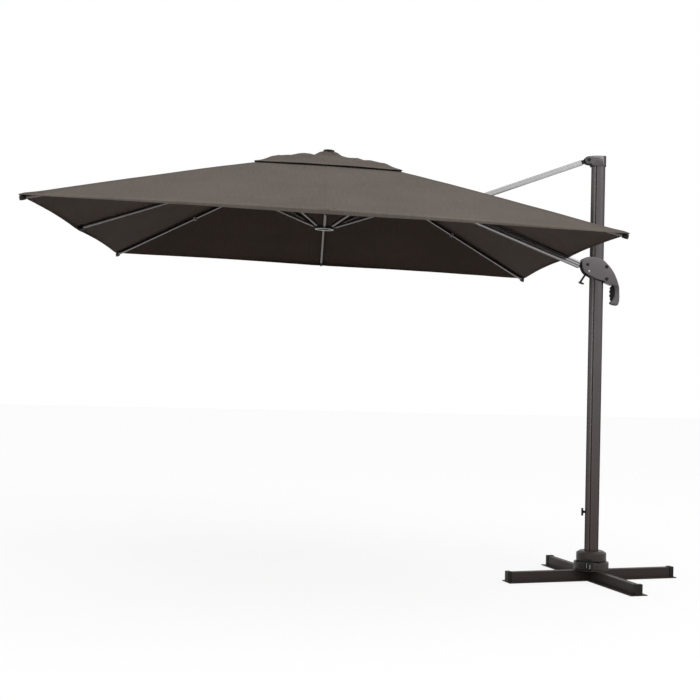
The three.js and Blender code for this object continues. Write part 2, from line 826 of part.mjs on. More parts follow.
// Release lever: a bent rod that hangs under the housing on its own cross shaft.
function releaseLever() {
  const shaft = crossPin(leverShaft, leverX, leverZ, -housingHalfY, housingHalfY);
  const rod = plate(
    shapeOf([
      [leverX - 6, leverZ + 4],
      [leverX - 47, leverZ - 60],
      [leverX - 38, leverZ - 67],
      [leverX + 3, leverZ - 3],
    ]),
    -6,
    6,
  );
  const foot = plate(
    shapeOf([
      [leverX - 53, leverZ - 61],
      [leverX - 51, leverZ - 72],
      [leverX - 24, leverZ - 80],
      [leverX - 20, leverZ - 72],
      [leverX - 38, leverZ - 64],
    ]),
    -10,
    10,
  );
  return join(shaft, rod, foot);
}
piece("release_lever", releaseLever(), materials.plastic, carriageFrame);

// ---------------------------------------------------------------- hub and runner
// A disc with eight radial slots; a short pin bridges each slot that a hinge turns on.
function slottedDisc(radius, z0, z1, pinZ, pinTurns) {
  const disc = post(radius, 0, 0, z0, z1, 32);
  const turns = [0, 45, 90, 135, 180, 225, 270, 315];
  const slots = turns.map((turn) => {
    const half = (turn === 0 && radius === hubRadius ? boomBladeThick : bladeThick) / 2 + cheekGap;
    return box(coreRadius, radius + 5, -half, half, z0 - 1, z1 + 1).rotateZ(rad(turn));
  });
  const pins = pinTurns.map((turn) =>
    crossPin(hingePin, hingeRadius, pinZ, -boomBladeThick, boomBladeThick, 8).rotateZ(rad(turn)),
  );
  return join(cut(disc, ...slots), ...pins);
}

function hub() {
  const disc = slottedDisc(hubRadius, hingeZ - 13, hingeZ + 6, hingeZ, [0, 45, 90, 135, 180, 225, 270, 315]);
  const boss = post(capBore, 0, 0, hingeZ, -touchGap, 24);
  return join(disc, boss);
}
piece("hub", hub(), materials.plastic, canopyFrame);

function hubCap() {
  return lathe(
    [
      [0, 0],
      [capBore, 0],
      [38, -8.4],
      [39, -5],
      [34, 4],
      [20, 11],
      [0, 13],
    ],
    32,
  );
}
piece("hub_cap", hubCap(), materials.plastic, canopyFrame);

function runner() {
  const disc = slottedDisc(runnerRadius, runnerZ - 9, runnerZ + 9, runnerZ, [0, 90, 180, 270]);
  return join(disc, post(22, 0, 0, runnerZ - 15, runnerZ + 14, 24));
}
piece("runner", runner(), materials.plastic, canopyFrame);

// ---------------------------------------------------------------- ribs and struts
const hubBladeLength = 26;

function rib(length, attach) {
  const tube = beam(tubeSection(ribWidth, ribHeight, 3, ribWall), hubBladeLength, length);
  const plug = box(
    hubBladeLength,
    hubBladeLength + 20,
    -ribWidth / 2 + ribWall / 2,
    ribWidth / 2 - ribWall / 2,
    -ribHeight / 2 + ribWall / 2,
    ribHeight / 2 - ribWall / 2,
  );
  const blade = box(0, hubBladeLength + 4, -bladeThick / 2, bladeThick / 2, -6, 6);
  const eye = crossPin(6, 0, 0, -bladeThick / 2, bladeThick / 2, 12);
  return cut(
    join(tube, plug, blade, eye),
    crossPin(hingePin + pinGap, 0, 0, -ribWidth, ribWidth, 8),
    crossPin(hingePin + pinGap, attach, 0, -ribWidth, ribWidth, 8),
  );
}

// +X runs from the pin on the rib down to the eye on the runner.
function strut(length, carried, forkLength, pinned) {
  const inner = carried / 2 + cheekGap;
  const outer = inner + 3;
  const end = length - 24;
  const tube = beam(tubeSection(strutWidth, strutHeight, 3, strutWall), forkLength, end);
  const cheekShape = new THREE.Shape();
  cheekShape.absarc(0, 0, 7, Math.PI / 2, 1.5 * Math.PI);
  cheekShape.lineTo(forkLength + 16, -7);
  cheekShape.lineTo(forkLength + 16, 7);
  const parts = [plate(cheekShape, inner, outer, 3), plate(cheekShape, -outer, -inner, 3)];
  if (inner > strutWidth / 2) parts.push(box(forkLength + 2, forkLength + 16, -outer, outer, -5, 5));
  parts.push(crossPin(hingePin, 0, 0, -inner - 1, inner + 1, 8));
  parts.push(box(end - 12, end, -strutWidth / 2 + 0.6, strutWidth / 2 - 0.6, -6.9, 6.9));
  parts.push(box(end - 4, length, -bladeThick / 2, bladeThick / 2, -5, 5));
  parts.push(crossPin(5.5, length, 0, -bladeThick / 2, bladeThick / 2, 10));
  const body = join(tube, ...parts);
  return pinned ? cut(body, crossPin(hingePin + pinGap, length, 0, -bladeThick, bladeThick, 8)) : body;
}

// Where a strut runs from a pin at distance attach along a rib at this angle to the runner's hinge circle.
function strutTo(attach, ribAngle) {
  const x = hingeRadius + attach * Math.cos(ribAngle);
  const z = hingeZ - attach * Math.sin(ribAngle);
  const rise = z - runnerZ;
  const run = x - hingeRadius;
  return { x, z, length: Math.hypot(run, rise), angle: Math.atan2(rise, run) };
}

function azimuth(turn) {
  const group = new THREE.Group();
  group.rotation.z = rad(turn);
  canopyFrame.add(group);
  return group;
}

const ribNames = {
  45: "back_inner",
  90: "back",
  135: "back_outer",
  180: "outer",
  225: "front_outer",
  270: "front",
  315: "front_inner",
};

for (const [turn, name] of Object.entries(ribNames)) {
  const corner = turn % 90 !== 0;
  const angle = corner ? cornerAngle : midAngle;
  const attach = corner ? cornerAttach : midAttach;
  const reach = corner ? cornerReach : canopyHalf;
  const length = (reach - hingeRadius) / Math.cos(angle) - 12;
  const spoke = azimuth(Number(turn));
  piece(`rib_${name}`, rib(length, attach), materials.rib, frameAt(spoke, hingeRadius, hingeZ, angle));
  const run = strutTo(attach, angle);
  const strutFrame = frameAt(spoke, run.x, run.z, Math.PI - run.angle);
  piece(`strut_${name}`, strut(run.length, ribWidth, 56, !corner), materials.rib, strutFrame);
}

const boomRun = strutTo(midAttach, midAngle);
piece(
  "strut_boom",
  strut(boomRun.length, boomWidth, 100, true),
  materials.rib,
  frameAt(azimuth(0), boomRun.x, boomRun.z, Math.PI - boomRun.angle),
);

// ---------------------------------------------------------------- cloth
// The cloth's height under a point: four pairs of flat panels between the ribs.
function clothHeight(x, y) {
  const far = Math.max(Math.abs(x), Math.abs(y));
  const near = Math.min(Math.abs(x), Math.abs(y));
  const drop = x > 0 && Math.abs(x) >= Math.abs(y) ? boomDrop : midDrop;
  return -(far * drop + near * (cornerDrop - drop)) / canopyHalf;
}

// A square sheet with a square hole, whose outer edge curves in by inset between the ribs.
function sheet(holeHalf, outerHalf, inset, lift, rings, steps) {
  const perSide = 2 * steps;
  const around = 4 * perSide;
  const points = [];
  for (const top of [0, 1]) {
    for (let ring = 0; ring <= rings; ring += 1) {
      const half = holeHalf + ((outerHalf - holeHalf) * ring) / rings;
      for (let i = 0; i < around; i += 1) {
        const along = ((i % perSide) / perSide) * 2 - 1; // -1 at one corner, 1 at the next
        const bow = (inset * ring * Math.sin(Math.PI * Math.abs(along))) / rings;
        const turn = (Math.floor(i / perSide) * Math.PI) / 2;
        const u = half - bow;
        const v = along * half;
        const x = Math.round((u * Math.cos(turn) - v * Math.sin(turn)) * 1e6) / 1e6;
        const y = Math.round((u * Math.sin(turn) + v * Math.cos(turn)) * 1e6) / 1e6;
        const raised = (lift * (half - holeHalf)) / (outerHalf - holeHalf);
        points.push(x, y, clothHeight(x, y) + raised + top * clothThick);
      }
    }
  }
  const at = (top, ring, i) => (top * (rings + 1) + ring) * around + (i % around);
  const faces = [];
  const quad = (a, b, c, d) => faces.push(a, b, c, a, c, d);
  for (let i = 0; i < around; i += 1) {
    for (let ring = 0; ring < rings; ring += 1) {
      quad(at(1, ring, i), at(1, ring + 1, i), at(1, ring + 1, i + 1), at(1, ring, i + 1));
      quad(at(0, ring, i), at(0, ring, i + 1), at(0, ring + 1, i + 1), at(0, ring + 1, i));
    }
    quad(at(0, rings, i), at(0, rings, i + 1), at(1, rings, i + 1), at(1, rings, i));
    quad(at(0, 0, i), at(1, 0, i), at(1, 0, i + 1), at(0, 0, i + 1));
  }
  const geometry = new THREE.BufferGeometry();
  geometry.setAttribute("position", new THREE.Float32BufferAttribute(points, 3));
  geometry.setIndex(faces);
  return geometry;
}

function canopy() {
  const tieX = jointX - hubX;
  const cloth = sheet(ventHole, canopyHalf, edgeInset, 0, 3, 8);
  const slot = box(
    tieX - tieSlotLength / 2 - 20,
    tieX + tieSlotLength / 2 - 20,
    -tieSlotWidth / 2,
    tieSlotWidth / 2,
    -600,
    0,
  );
  return cut(cloth, slot);
}
piece("canopy", canopy(), materials.cloth, canopyFrame);
piece("vent_canopy", sheet(22, ventHalf, 10, ventLift, 3, 4), materials.cloth, canopyFrame);

export default root;
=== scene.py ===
import json
import math

import bmesh
import bpy
from mathutils import Matrix, Vector, noise


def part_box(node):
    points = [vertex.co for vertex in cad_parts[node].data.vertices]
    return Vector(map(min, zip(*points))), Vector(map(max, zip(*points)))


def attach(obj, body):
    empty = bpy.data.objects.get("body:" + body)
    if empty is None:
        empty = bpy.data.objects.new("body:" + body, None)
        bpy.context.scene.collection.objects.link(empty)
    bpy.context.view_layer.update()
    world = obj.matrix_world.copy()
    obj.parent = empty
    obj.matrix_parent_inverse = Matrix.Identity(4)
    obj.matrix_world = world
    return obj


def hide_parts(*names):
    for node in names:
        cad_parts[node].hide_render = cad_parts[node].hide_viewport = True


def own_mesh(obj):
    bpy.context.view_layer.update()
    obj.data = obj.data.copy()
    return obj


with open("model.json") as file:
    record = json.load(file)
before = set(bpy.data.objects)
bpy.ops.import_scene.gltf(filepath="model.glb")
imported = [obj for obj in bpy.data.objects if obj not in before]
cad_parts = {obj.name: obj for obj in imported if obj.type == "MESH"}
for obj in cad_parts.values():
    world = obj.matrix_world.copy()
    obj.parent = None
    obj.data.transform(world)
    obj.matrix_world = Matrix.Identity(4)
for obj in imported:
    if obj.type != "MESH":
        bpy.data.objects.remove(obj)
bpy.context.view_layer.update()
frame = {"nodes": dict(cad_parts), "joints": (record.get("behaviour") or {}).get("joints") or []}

joints = {joint["name"]: joint for joint in frame["joints"]}

# ---------------------------------------------------------------- cross base
# Two steel rails, each a flat flange with a box web, halved into each other and powder coated
# dark brown-grey. Moulded plugs close their four ends.
rail_colour = (0.048, 0.037, 0.032)
plug_colour = (0.016, 0.014, 0.013)
rail_edge = 0.0012
plug_edge = 0.0016


def add_node(tree, kind, values=None, **settings):
    """A new shader node with its settings and its input values."""
    fresh = tree.nodes.new("ShaderNode" + kind)
    for name, value in settings.items():
        setattr(fresh, name, value)
    for name, value in (values or {}).items():
        fresh.inputs[name].default_value = value
    return fresh


def wire(tree, *runs):
    """Joins nodes by runs of a node and its output, then a node and its input."""
    for start, output, end, socket in runs:
        tree.links.new(start.outputs[output], end.inputs[socket])


def tints(colour, spread):
    """The inputs of a colour mix that runs a share darker and lighter than a colour."""
    return {"A": [c * (1 - spread) for c in colour] + [1], "B": [c * (1 + spread) for c in colour] + [1]}


def finish(
    name, colour, roughness, metallic=0.0, mottle=0.14, grain=(700, 700, 700), relief=0.25, turn=0.0, edge=0.0
):
    """A surface whose tint, gloss and skin all vary a little; grain is its noise per metre on each axis.
    Edge is how much its colour is darkened where it is seen along the surface, a painted shade at grazing
    angles."""
    material = bpy.data.materials.new(name)
    material.use_nodes = True
    tree = material.node_tree
    shader = tree.nodes["Principled BSDF"]
    shader.inputs["Metallic"].default_value = metallic
    shader.inputs["Specular IOR Level"].default_value = 0.22 + 0.28 * metallic
    place = add_node(tree, "TexCoord")
    stretch = {"Rotation": (0, turn, 0), "Scale": [1 / count for count in grain]}
    axes = add_node(tree, "Mapping", stretch, vector_type="TEXTURE")
    skin = add_node(tree, "TexNoise", {"Scale": 1, "Detail": 3})
    cloud = add_node(tree, "TexNoise", {"Scale": 9, "Detail": 4})
    tint = add_node(tree, "Mix", tints(colour, mottle), data_type="RGBA")
    gloss = add_node(tree, "MapRange", {"To Min": roughness * 0.85, "To Max": roughness * 1.15})
    bump = add_node(tree, "Bump", {"Strength": relief, "Distance": 0.0003})
    wire(
        tree,
        (place, "Object", axes, "Vector"),
        (axes, "Vector", skin, "Vector"),
        (place, "Object", cloud, "Vector"),
        (cloud, "Fac", tint, "Factor"),
        (tint, "Result", shader, "Base Color"),
        (cloud, "Fac", gloss, "Value"),
        (gloss, "Result", shader, "Roughness"),
        (skin, "Fac", bump, "Height"),
        (bump, "Normal", shader, "Normal"),
    )
    # Painted shade: the colour, and the tint of its gloss, darken where the surface is seen edge on.
    if edge:
        facing = add_node(tree, "LayerWeight", {"Blend": 0.35})
        painted_edge_shade_range = add_node(tree, "MapRange", {"From Min": 0.25, "From Max": 0.9, "To Max": edge})
        painted_edge_shade_mix = add_node(tree, "Mix", data_type="RGBA")
        painted_edge_shade_mix.inputs["B"].default_value = [c * 0.12 for c in colour] + [1]
        shader.inputs["Specular Tint"].default_value = [c * 1.5 for c in colour] + [1]
        wire(
            tree,
            (facing, "Facing", painted_edge_shade_range, "Value"),
            (painted_edge_shade_range, "Result", painted_edge_shade_mix, "Factor"),
            (tint, "Result", painted_edge_shade_mix, "A"),
            (painted_edge_shade_mix, "Result", shader, "Base Color"),
            (painted_edge_shade_mix, "Result", shader, "Specular Tint"),
        )
    return material


def dress(names, material, edge=0.0008):
    """Gives frame pieces their finish and eases their sharp edges, as a press or a mould leaves them."""
    for name in names:
        piece = frame["nodes"][name]
        piece.data.materials.clear()
        piece.data.materials.append(material)
        if "custom_normal" in piece.data.attributes:
            piece.data.attributes.remove(piece.data.attributes["custom_normal"])
        piece.data.shade_smooth()
        weld = piece.modifiers.new("weld", "WELD")
        weld.merge_threshold = 0.00002
        flats = piece.modifiers.new("flats", "DECIMATE")
        flats.decimate_type = "DISSOLVE"
        flats.angle_limit = math.radians(0.8)
        ease = piece.modifiers.new("ease", "BEVEL")
        ease.width = edge
        ease.segments = 2
        ease.limit_method = "ANGLE"
        ease.angle_limit = math.radians(32)
        ease.harden_normals = True


rail_paint = finish("rail_powder_coat", rail_colour, 0.5, 0.0, grain=(1500, 1500, 1500), relief=0.35)
plug_plastic = finish("rail_plug_nylon", plug_colour, 0.55, grain=(2200, 2200, 2200), relief=0.3)
dress(["base_rail_lower", "base_rail_upper"], rail_paint, rail_edge)
rail_plugs = [f"base_rail_{rail}_cap_{end}" for rail in ("lower", "upper") for end in ("a", "b")]
dress(rail_plugs, plug_plastic, plug_edge)

# ---------------------------------------------------------------- swivel
# A pressed steel drum bolted through a plate onto the cross. Over it a cast collar turns on a
# plastic ring and carries the mast; a foot pedal in the drum's side frees it.
drum_colour = (0.070, 0.057, 0.050)
collar_colour = (0.072, 0.058, 0.050)
zinc_colour = (0.33, 0.33, 0.33)
turned_sides = 112


def filleted(points, radius, steps=5, closed=False):
    """The same line with its corners rounded, as far as its shortest legs allow."""
    count = len(points)
    rounded = []
    for i, (x, y) in enumerate(points):
        if not closed and i in (0, count - 1):
            rounded.append((x, y))
            continue
        corner = Vector((x, y))
        before = Vector(points[i - 1]) - corner
        after = Vector(points[(i + 1) % count]) - corner
        bend = math.pi - before.angle(after, math.pi)
        if bend < 0.12:
            rounded.append((x, y))
            continue
        reach = min(radius * math.tan(bend / 2), before.length * 0.45, after.length * 0.45)
        start = corner + before.normalized() * reach
        end = corner + after.normalized() * reach
        for step in range(steps + 1):
            t = step / steps
            rounded.append(tuple(start * (1 - t) ** 2 + corner * 2 * t * (1 - t) + end * t * t))
    return rounded


def made(name, vertices, faces, material, body, slot, sharp=32):
    """A new piece from its corners and faces, smooth up to the sharp angle, riding on a body."""
    mesh = bpy.data.meshes.new(name)
    mesh.from_pydata([tuple(v) for v in vertices], [], faces)
    return settled(name, mesh, material, body, sharp)


def settled(name, mesh, material, body, sharp=32):
    build = bmesh.new()
    build.from_mesh(mesh)
    bmesh.ops.remove_doubles(build, verts=build.verts, dist=0.000002)
    bmesh.ops.recalc_face_normals(build, faces=build.faces)
    build.to_mesh(mesh)
    build.free()
    mesh.shade_smooth()
    mesh.set_sharp_from_angle(angle=math.radians(sharp))
    mesh.materials.clear()
    mesh.materials.append(material)
    piece = bpy.data.objects.new(name, mesh)
    bpy.context.scene.collection.objects.link(piece)
    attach(piece, body)
    return piece


def turned_mesh(profile, place=Matrix.Identity(4), closed=False, sides=turned_sides):
    """Corners and faces of a profile of (radius, height) turned about the place's own Z."""
    vertices = []
    rings = []
    for radius, height in profile:
        if radius < 1e-6:
            rings.append([len(vertices)] * sides)
            vertices.append(place @ Vector((0, 0, height)))
            continue
        rings.append(list(range(len(vertices), len(vertices) + sides)))
        for i in range(sides):
            angle = 2 * math.pi * i / sides
            vertices.append(place @ Vector((radius * math.cos(angle), radius * math.sin(angle), height)))
    pairs = list(zip(rings, rings[1:]))
    if closed:
        pairs.append((rings[-1], rings[0]))
    faces = []
    for low, high in pairs:
        for i in range(sides):
            j = (i + 1) % sides
            corners = list(dict.fromkeys((low[i], low[j], high[j], high[i])))
            if len(corners) > 2:
                faces.append(corners)
    return vertices, faces


def turned(name, profile, material, body, slot, place=Matrix.Identity(4), closed=False, sides=turned_sides):
    return made(name, *turned_mesh(profile, place, closed, sides), material, body, slot)


def cutter(vertices, faces):
    mesh = bpy.data.meshes.new("cutter")
    mesh.from_pydata([tuple(v) for v in vertices], [], faces)
    build = bmesh.new()
    build.from_mesh(mesh)
    bmesh.ops.recalc_face_normals(build, faces=build.faces)
    build.to_mesh(mesh)
    build.free()
    tool = bpy.data.objects.new("cutter", mesh)
    bpy.context.scene.collection.objects.link(tool)
    return tool


def block(low, high, place=Matrix.Identity(4)):
    """Corners and faces of a box, for cutting with."""
    vertices = [
        place @ Vector((x, y, z))
        for x in (low[0], high[0])
        for y in (low[1], high[1])
        for z in (low[2], high[2])
    ]
    faces = [(0, 1, 3, 2), (4, 6, 7, 5), (0, 4, 5, 1), (2, 3, 7, 6), (0, 2, 6, 4), (1, 5, 7, 3)]
    return vertices, faces


def combined(piece, tools, operation, sharp=32):
    """The piece cut by, joined with or limited to each tool, which is used up."""
    for vertices, faces in tools:
        tool = cutter(vertices, faces)
        step = piece.modifiers.new("combine", "BOOLEAN")
        step.operation = operation
        step.solver = "EXACT"
        step.object = tool
        bpy.context.view_layer.update()
        shape = bpy.data.meshes.new_from_object(piece.evaluated_get(bpy.context.evaluated_depsgraph_get()))
        piece.modifiers.clear()
        piece.data = shape
        bpy.data.objects.remove(tool)
    shape = piece.data
    shape.shade_smooth()
    shape.set_sharp_from_angle(angle=math.radians(sharp))
    return piece


drum_paint = finish("swivel_powder_coat", drum_colour, 0.45, grain=(1500, 1500, 1500), relief=0.35)
collar_paint = finish("collar_powder_coat", collar_colour, 0.4, grain=(1300, 1300, 1300), relief=0.3)
pedal_plastic = finish("pedal_nylon", (0.017, 0.016, 0.015), 0.4, grain=(1800, 1800, 1800))
zinc = finish("zinc_plate", zinc_colour, 0.3, 0.9, grain=(1200, 1200, 1200), relief=0.1)

low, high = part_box("swivel_base")
drum_radius = 0.093
ledge = low.z + 0.042
drum = filleted(
    [
        (0, low.z),
        (high.x, low.z),
        (high.x, low.z + 0.017),
        (high.x - 0.0012, low.z + 0.018),
        (high.x, low.z + 0.019),
        (high.x, ledge),
        (drum_radius, ledge),
        (drum_radius, high.z),
        (0, high.z),
    ],
    0.005,
)
swivel_drum = turned("swivel_drum", drum, drum_paint, "base", "base_paint")
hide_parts("swivel_base")

pedal_pivot = Vector(joints["pedal_press"]["pos_m"])
pedal_frame = Matrix.Translation((0, 0, pedal_pivot.z)) @ Matrix.Rotation(
    math.atan2(pedal_pivot.y, pedal_pivot.x), 4, "Z"
)
pedal_radius = math.hypot(pedal_pivot.x, pedal_pivot.y)
pocket_half = 0.0295
combined(
    swivel_drum,
    [block((pedal_radius - 0.016, -pocket_half, -0.028), (0.13, pocket_half, 0.014), pedal_frame)],
    "DIFFERENCE",
)

low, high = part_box("swivel_collar")
crown = high.z
collar = filleted(
    [
        (0.030, low.z),
        (high.x, low.z),
        (high.x, crown - 0.012),
        (high.x - 0.020, crown),
        (0.030, crown),
    ],
    0.005,
    closed=True,
)
collar_piece = turned("mast_collar", collar, collar_paint, "mast", "collar_paint", closed=True)
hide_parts("swivel_collar")

dress(["base_plate"], drum_paint, 0.001)
dress(["bearing_ring"], plug_plastic, 0.0006)
dress(["foot_pedal"], pedal_plastic, 0.0032)
black_steel = finish("black_zinc", (0.018, 0.017, 0.017), 0.35, 0.5, grain=(1200, 1200, 1200), relief=0.1)
dress([f"base_bolt_{i}" for i in (1, 2, 3, 4)], black_steel, 0.0006)
dress(["pedal_pin"], zinc, 0.0006)

# ---------------------------------------------------------------- pedal's face
# A zinc plated spring leaf shows upright in the hood's recess, and a latch tongue of the same
# plate stands beside it on the hood's face.
hood_face = 0.130
spring_leaf = made(
    "pedal_spring",
    *block((hood_face - 0.0095, 0.0050, -0.0070), (hood_face - 0.0045, 0.0078, 0.0220), pedal_frame),
    zinc,
    "pedal",
    "bolt_steel",
)
latch = made(
    "pedal_latch",
    *block((hood_face - 0.006, 0.0262, -0.0100), (hood_face + 0.0016, 0.0302, 0.0140), pedal_frame),
    zinc,
    "pedal",
    "bolt_steel",
)
for piece in (spring_leaf, latch):
    soften = piece.modifiers.new("ease", "BEVEL")
    soften.width = 0.0006
    soften.segments = 2

# ---------------------------------------------------------------- mast
# One aluminium extrusion of oval section with a groove down its front and back, anodised grey.
# It stands in the collar, and a T screw low on its side clamps it.
mast_colour = (0.125, 0.113, 0.115)
# The grooves' near-black colour is painted shade for the recess.
groove_shade_colour = (0.012, 0.011, 0.011)
groove_x = -0.018
groove_half = 0.0035
groove_deep = 0.0034


def rounded_rectangle(width, depth, corner, steps=14):
    points = []
    for quarter in range(4):
        cx = (width / 2 - corner) * (1 if quarter in (0, 3) else -1)
        cy = (depth / 2 - corner) * (1 if quarter in (0, 1) else -1)
        for step in range(steps + 1):
            angle = (quarter + step / steps) * math.pi / 2
            points.append((cx + corner * math.cos(angle), cy + corner * math.sin(angle)))
    return points


def grooved(points, side):
    """The outline with its groove cut on the +Y or -Y side."""
    lip = 0.0007
    half_depth = max(abs(y) for x, y in points)
    edge = [
        (groove_x + side * groove_half, side * half_depth - side * lip * 0.3),
        (groove_x + side * (groove_half - lip), side * (half_depth - lip)),
        (groove_x + side * (groove_half - lip), side * (half_depth - groove_deep)),
        (groove_x - side * (groove_half - lip), side * (half_depth - groove_deep)),
        (groove_x - side * (groove_half - lip), side * (half_depth - lip)),
        (groove_x - side * groove_half, side * half_depth - side * lip * 0.3),
    ]
    kept = []
    placed = False
    for x, y in points:
        if y * side > 0 and abs(x - groove_x) < groove_half:
            continue
        if not placed and y * side > 0 and (x - groove_x) * side < 0:
            kept += edge
            placed = True
        kept.append((x, y))
    return kept


def extruded_mesh(outer, inner, place, start, end):
    """An outline run along the place's own Z, hollow where an inner outline is given."""
    count = len(outer)
    vertices = []
    for run in (start, end):
        for loop in (outer, inner):
            vertices += [place @ Vector((x, y, run)) for x, y in loop or []]
    layer = count * (2 if inner else 1)
    faces = []
    for i in range(count):
        j = (i + 1) % count
        faces.append((i, j, layer + j, layer + i))
        if inner:
            faces.append((count + j, count + i, layer + count + i, layer + count + j))
            faces.append((j, i, count + i, count + j))
            faces.append((layer + i, layer + j, layer + count + j, layer + count + i))
    if not inner:
        faces += [list(range(count))[::-1], list(range(layer, layer + count))]
    return vertices, faces


# Its edge value paints shade onto its colour where it is seen edge on.
mast_metal = finish(
    "mast_anodising", mast_colour, 0.3, 0.8, mottle=0.05, grain=(900, 900, 5), relief=0.1, edge=0.95
)
mast_tree = mast_metal.node_tree
mast_mottle = mast_tree.nodes["Mix"]
mast_place = mast_tree.nodes["Texture Coordinate"]
# The mast's colour runs darker and browner towards its foot, from 1.5 m down to 0.3 m.
mast_height = add_node(mast_tree, "SeparateXYZ")
foot_share = add_node(
    mast_tree, "MapRange", {"From Min": 0.3, "From Max": 1.5, "To Min": 1.0, "To Max": 0.0}
)
foot_tint = add_node(mast_tree, "Mix", {"B": (0.074, 0.060, 0.056, 1)}, data_type="RGBA")
# The mix that paints shade where the mast is seen edge on.
mast_edge_shade_mix = [
    mix
    for mix in mast_tree.nodes
    if mix.bl_idname == "ShaderNodeMix" and mix not in (mast_mottle, foot_tint)
][0]
wire(
    mast_tree,
    (mast_place, "Object", mast_height, "Vector"),
    (mast_height, "Z", foot_share, "Value"),
    (foot_share, "Result", foot_tint, "Factor"),
    (mast_mottle, "Result", foot_tint, "A"),
    (foot_tint, "Result", mast_edge_shade_mix, "A"),
)
# Painted shade: the faces inside the grooves of the mast and the boom are near black.
groove_shade_paint = finish("groove_painted_shade", groove_shade_colour, 0.6, 0.3, grain=(900, 900, 5), relief=0.1)
low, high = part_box("mast_tube")
mast_top = high.z
mast_outline = grooved(
    grooved(rounded_rectangle(high.x - low.x, high.y - low.y, 0.026), 1),
    -1,
)
mast_bore = [(x * 0.88, y * 0.80) for x, y in mast_outline]
mast = made(
    "mast",
    *extruded_mesh(mast_outline, mast_bore, Matrix.Identity(4), low.z, high.z),
    mast_metal,
    "mast",
    "mast_anodised",
    sharp=40,
)
# The faces inside the mast's grooves take the painted groove shade.
mast.data.materials.append(groove_shade_paint)
for face in mast.data.polygons:
    if abs(face.center.x - groove_x) < groove_half - 0.0004 and abs(face.normal.z) < 0.5:
        face.material_index = 1
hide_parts("mast_tube")
knob_plastic = finish("knob_nylon", (0.009, 0.009, 0.009), 0.5, grain=(1600, 1600, 1600))
dress(["mast_knob"], knob_plastic, 0.0012)

# ---------------------------------------------------------------- top cap
# A die cast cap over the mast's top, sprayed metallic grey and lacquered. Its nose holds the
# upper bolt of the tie bar, whose black hexagon head sits on a washer.
cap_colour = (0.112, 0.107, 0.109)
cap_half = 0.034
cap_back = 0.046
top_pivot = Vector(joints["tie_fold"]["pos_m"])


def curve(start, control, end, steps=10):
    a, b, c = Vector(start), Vector(control), Vector(end)
    return [
        tuple(a * (1 - t) ** 2 + b * 2 * t * (1 - t) + c * t * t)
        for t in (i / steps for i in range(steps + 1))
    ]


def arc(centre, radius, start, end, steps=24):
    angles = [math.radians(start + (end - start) * i / steps) for i in range(steps + 1)]
    return [(centre[0] + radius * math.cos(a), centre[1] + radius * math.sin(a)) for a in angles]


# Stands an outline of (x, z) upright, so that it runs along Y.
upright = Matrix(((1, 0, 0, 0), (0, 0, 1, 0), (0, 1, 0, 0), (0, 0, 0, 1)))


def plate(name, outline, y0, y1, material, body, slot, edge=0.002, steps=3, sharp=35):
    """A flat moulding of an (x, z) outline from one y to another, with both its rims rounded."""
    mesh = bpy.data.meshes.new(name)
    vertices, faces = extruded_mesh(outline, None, upright, y0, y1)
    mesh.from_pydata([tuple(v) for v in vertices], [], faces)
    build = bmesh.new()
    build.from_mesh(mesh)
    bmesh.ops.recalc_face_normals(build, faces=build.faces)
    rims = [
        e for e in build.edges if abs(e.verts[0].co.y - e.verts[1].co.y) < 1e-6 and len(e.link_faces) == 2
    ]
    bmesh.ops.bevel(
        build, geom=rims, offset=edge, segments=steps, profile=0.5, affect="EDGES", clamp_overlap=True
    )
    build.to_mesh(mesh)
    build.free()
    return settled(name, mesh, material, body, sharp)


roof = mast_top + 0.012
hem = mast_top - 0.052
cap_outline = [(cap_back, hem), (cap_back, roof)]
cap_outline += curve(
    (-0.012, roof), (top_pivot.x + 0.012, roof - 0.001), (top_pivot.x - 0.0145, top_pivot.z + 0.0191)
)
cap_outline += arc((top_pivot.x, top_pivot.z), 0.024, 127, 262)[1:]
cap_outline += [(-cap_back, hem + 0.010), (-cap_back, hem)]
# Its edge value paints shade onto its colour where it is seen edge on.
cap_metal = finish(
    "cap_lacquer", cap_colour, 0.24, 0.8, mottle=0.05, grain=(900, 900, 900), relief=0.0, edge=0.7
)
cap = plate("mast_cap", cap_outline, -cap_half, cap_half, cap_metal, "mast", "cap_grey", edge=0.004)
nose = top_pivot.x - 0.025
plan = [(x + (nose + cap_back) / 2, y) for x, y in rounded_rectangle(cap_back - nose, 2 * cap_half, 0.028)]
combined(cap, [extruded_mesh(plan, None, Matrix.Identity(4), hem - 0.01, roof + 0.01)], "INTERSECT")
slot_half = 0.0085
combined(
    cap,
    [
        extruded_mesh(
            [(x * 1.012, y * 1.015) for x, y in rounded_rectangle(0.084, 0.060, 0.026)],
            None,
            Matrix.Identity(4),
            hem - 0.02,
            mast_top + 0.0004,
        ),
        block((nose - 0.03, -slot_half, hem - 0.02), (-cap_back + 0.001, slot_half, top_pivot.z + 0.019)),
    ],
    "DIFFERENCE",
)
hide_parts("mast_top_cap")


def merged(parts):
    """The corners and faces of several meshes as those of one."""
    vertices, faces = [], []
    for part_vertices, part_faces in parts:
        faces += [[len(vertices) + corner for corner in face] for face in part_faces]
        vertices += part_vertices
    return vertices, faces


def facing(centre, side):
    """A frame at a point, with Z straight out of the rear (side 1) or the front (side -1)."""
    return Matrix.Translation(centre) @ Matrix.Rotation(-side * math.pi / 2, 4, "X")


# A ring of small drilled marks round the bolt shows how far the tie may turn.
marks = 10
dimple_ring = 0.0178
dimple = [(0, -0.0016), (0.0021, -0.0016), (0.0021, 0.004), (0, 0.004)]
marked = []
for side in (-1, 1):
    for i in range(marks):
        around = 2 * math.pi * (i + 0.5) / marks
        step_out = Vector((math.cos(around), 0, math.sin(around))) * dimple_ring
        spot = Vector((top_pivot.x, side * cap_half, top_pivot.z)) + step_out
        marked.append(turned_mesh(dimple, facing(spot, side), sides=12))
combined(cap, [merged(marked)], "DIFFERENCE")


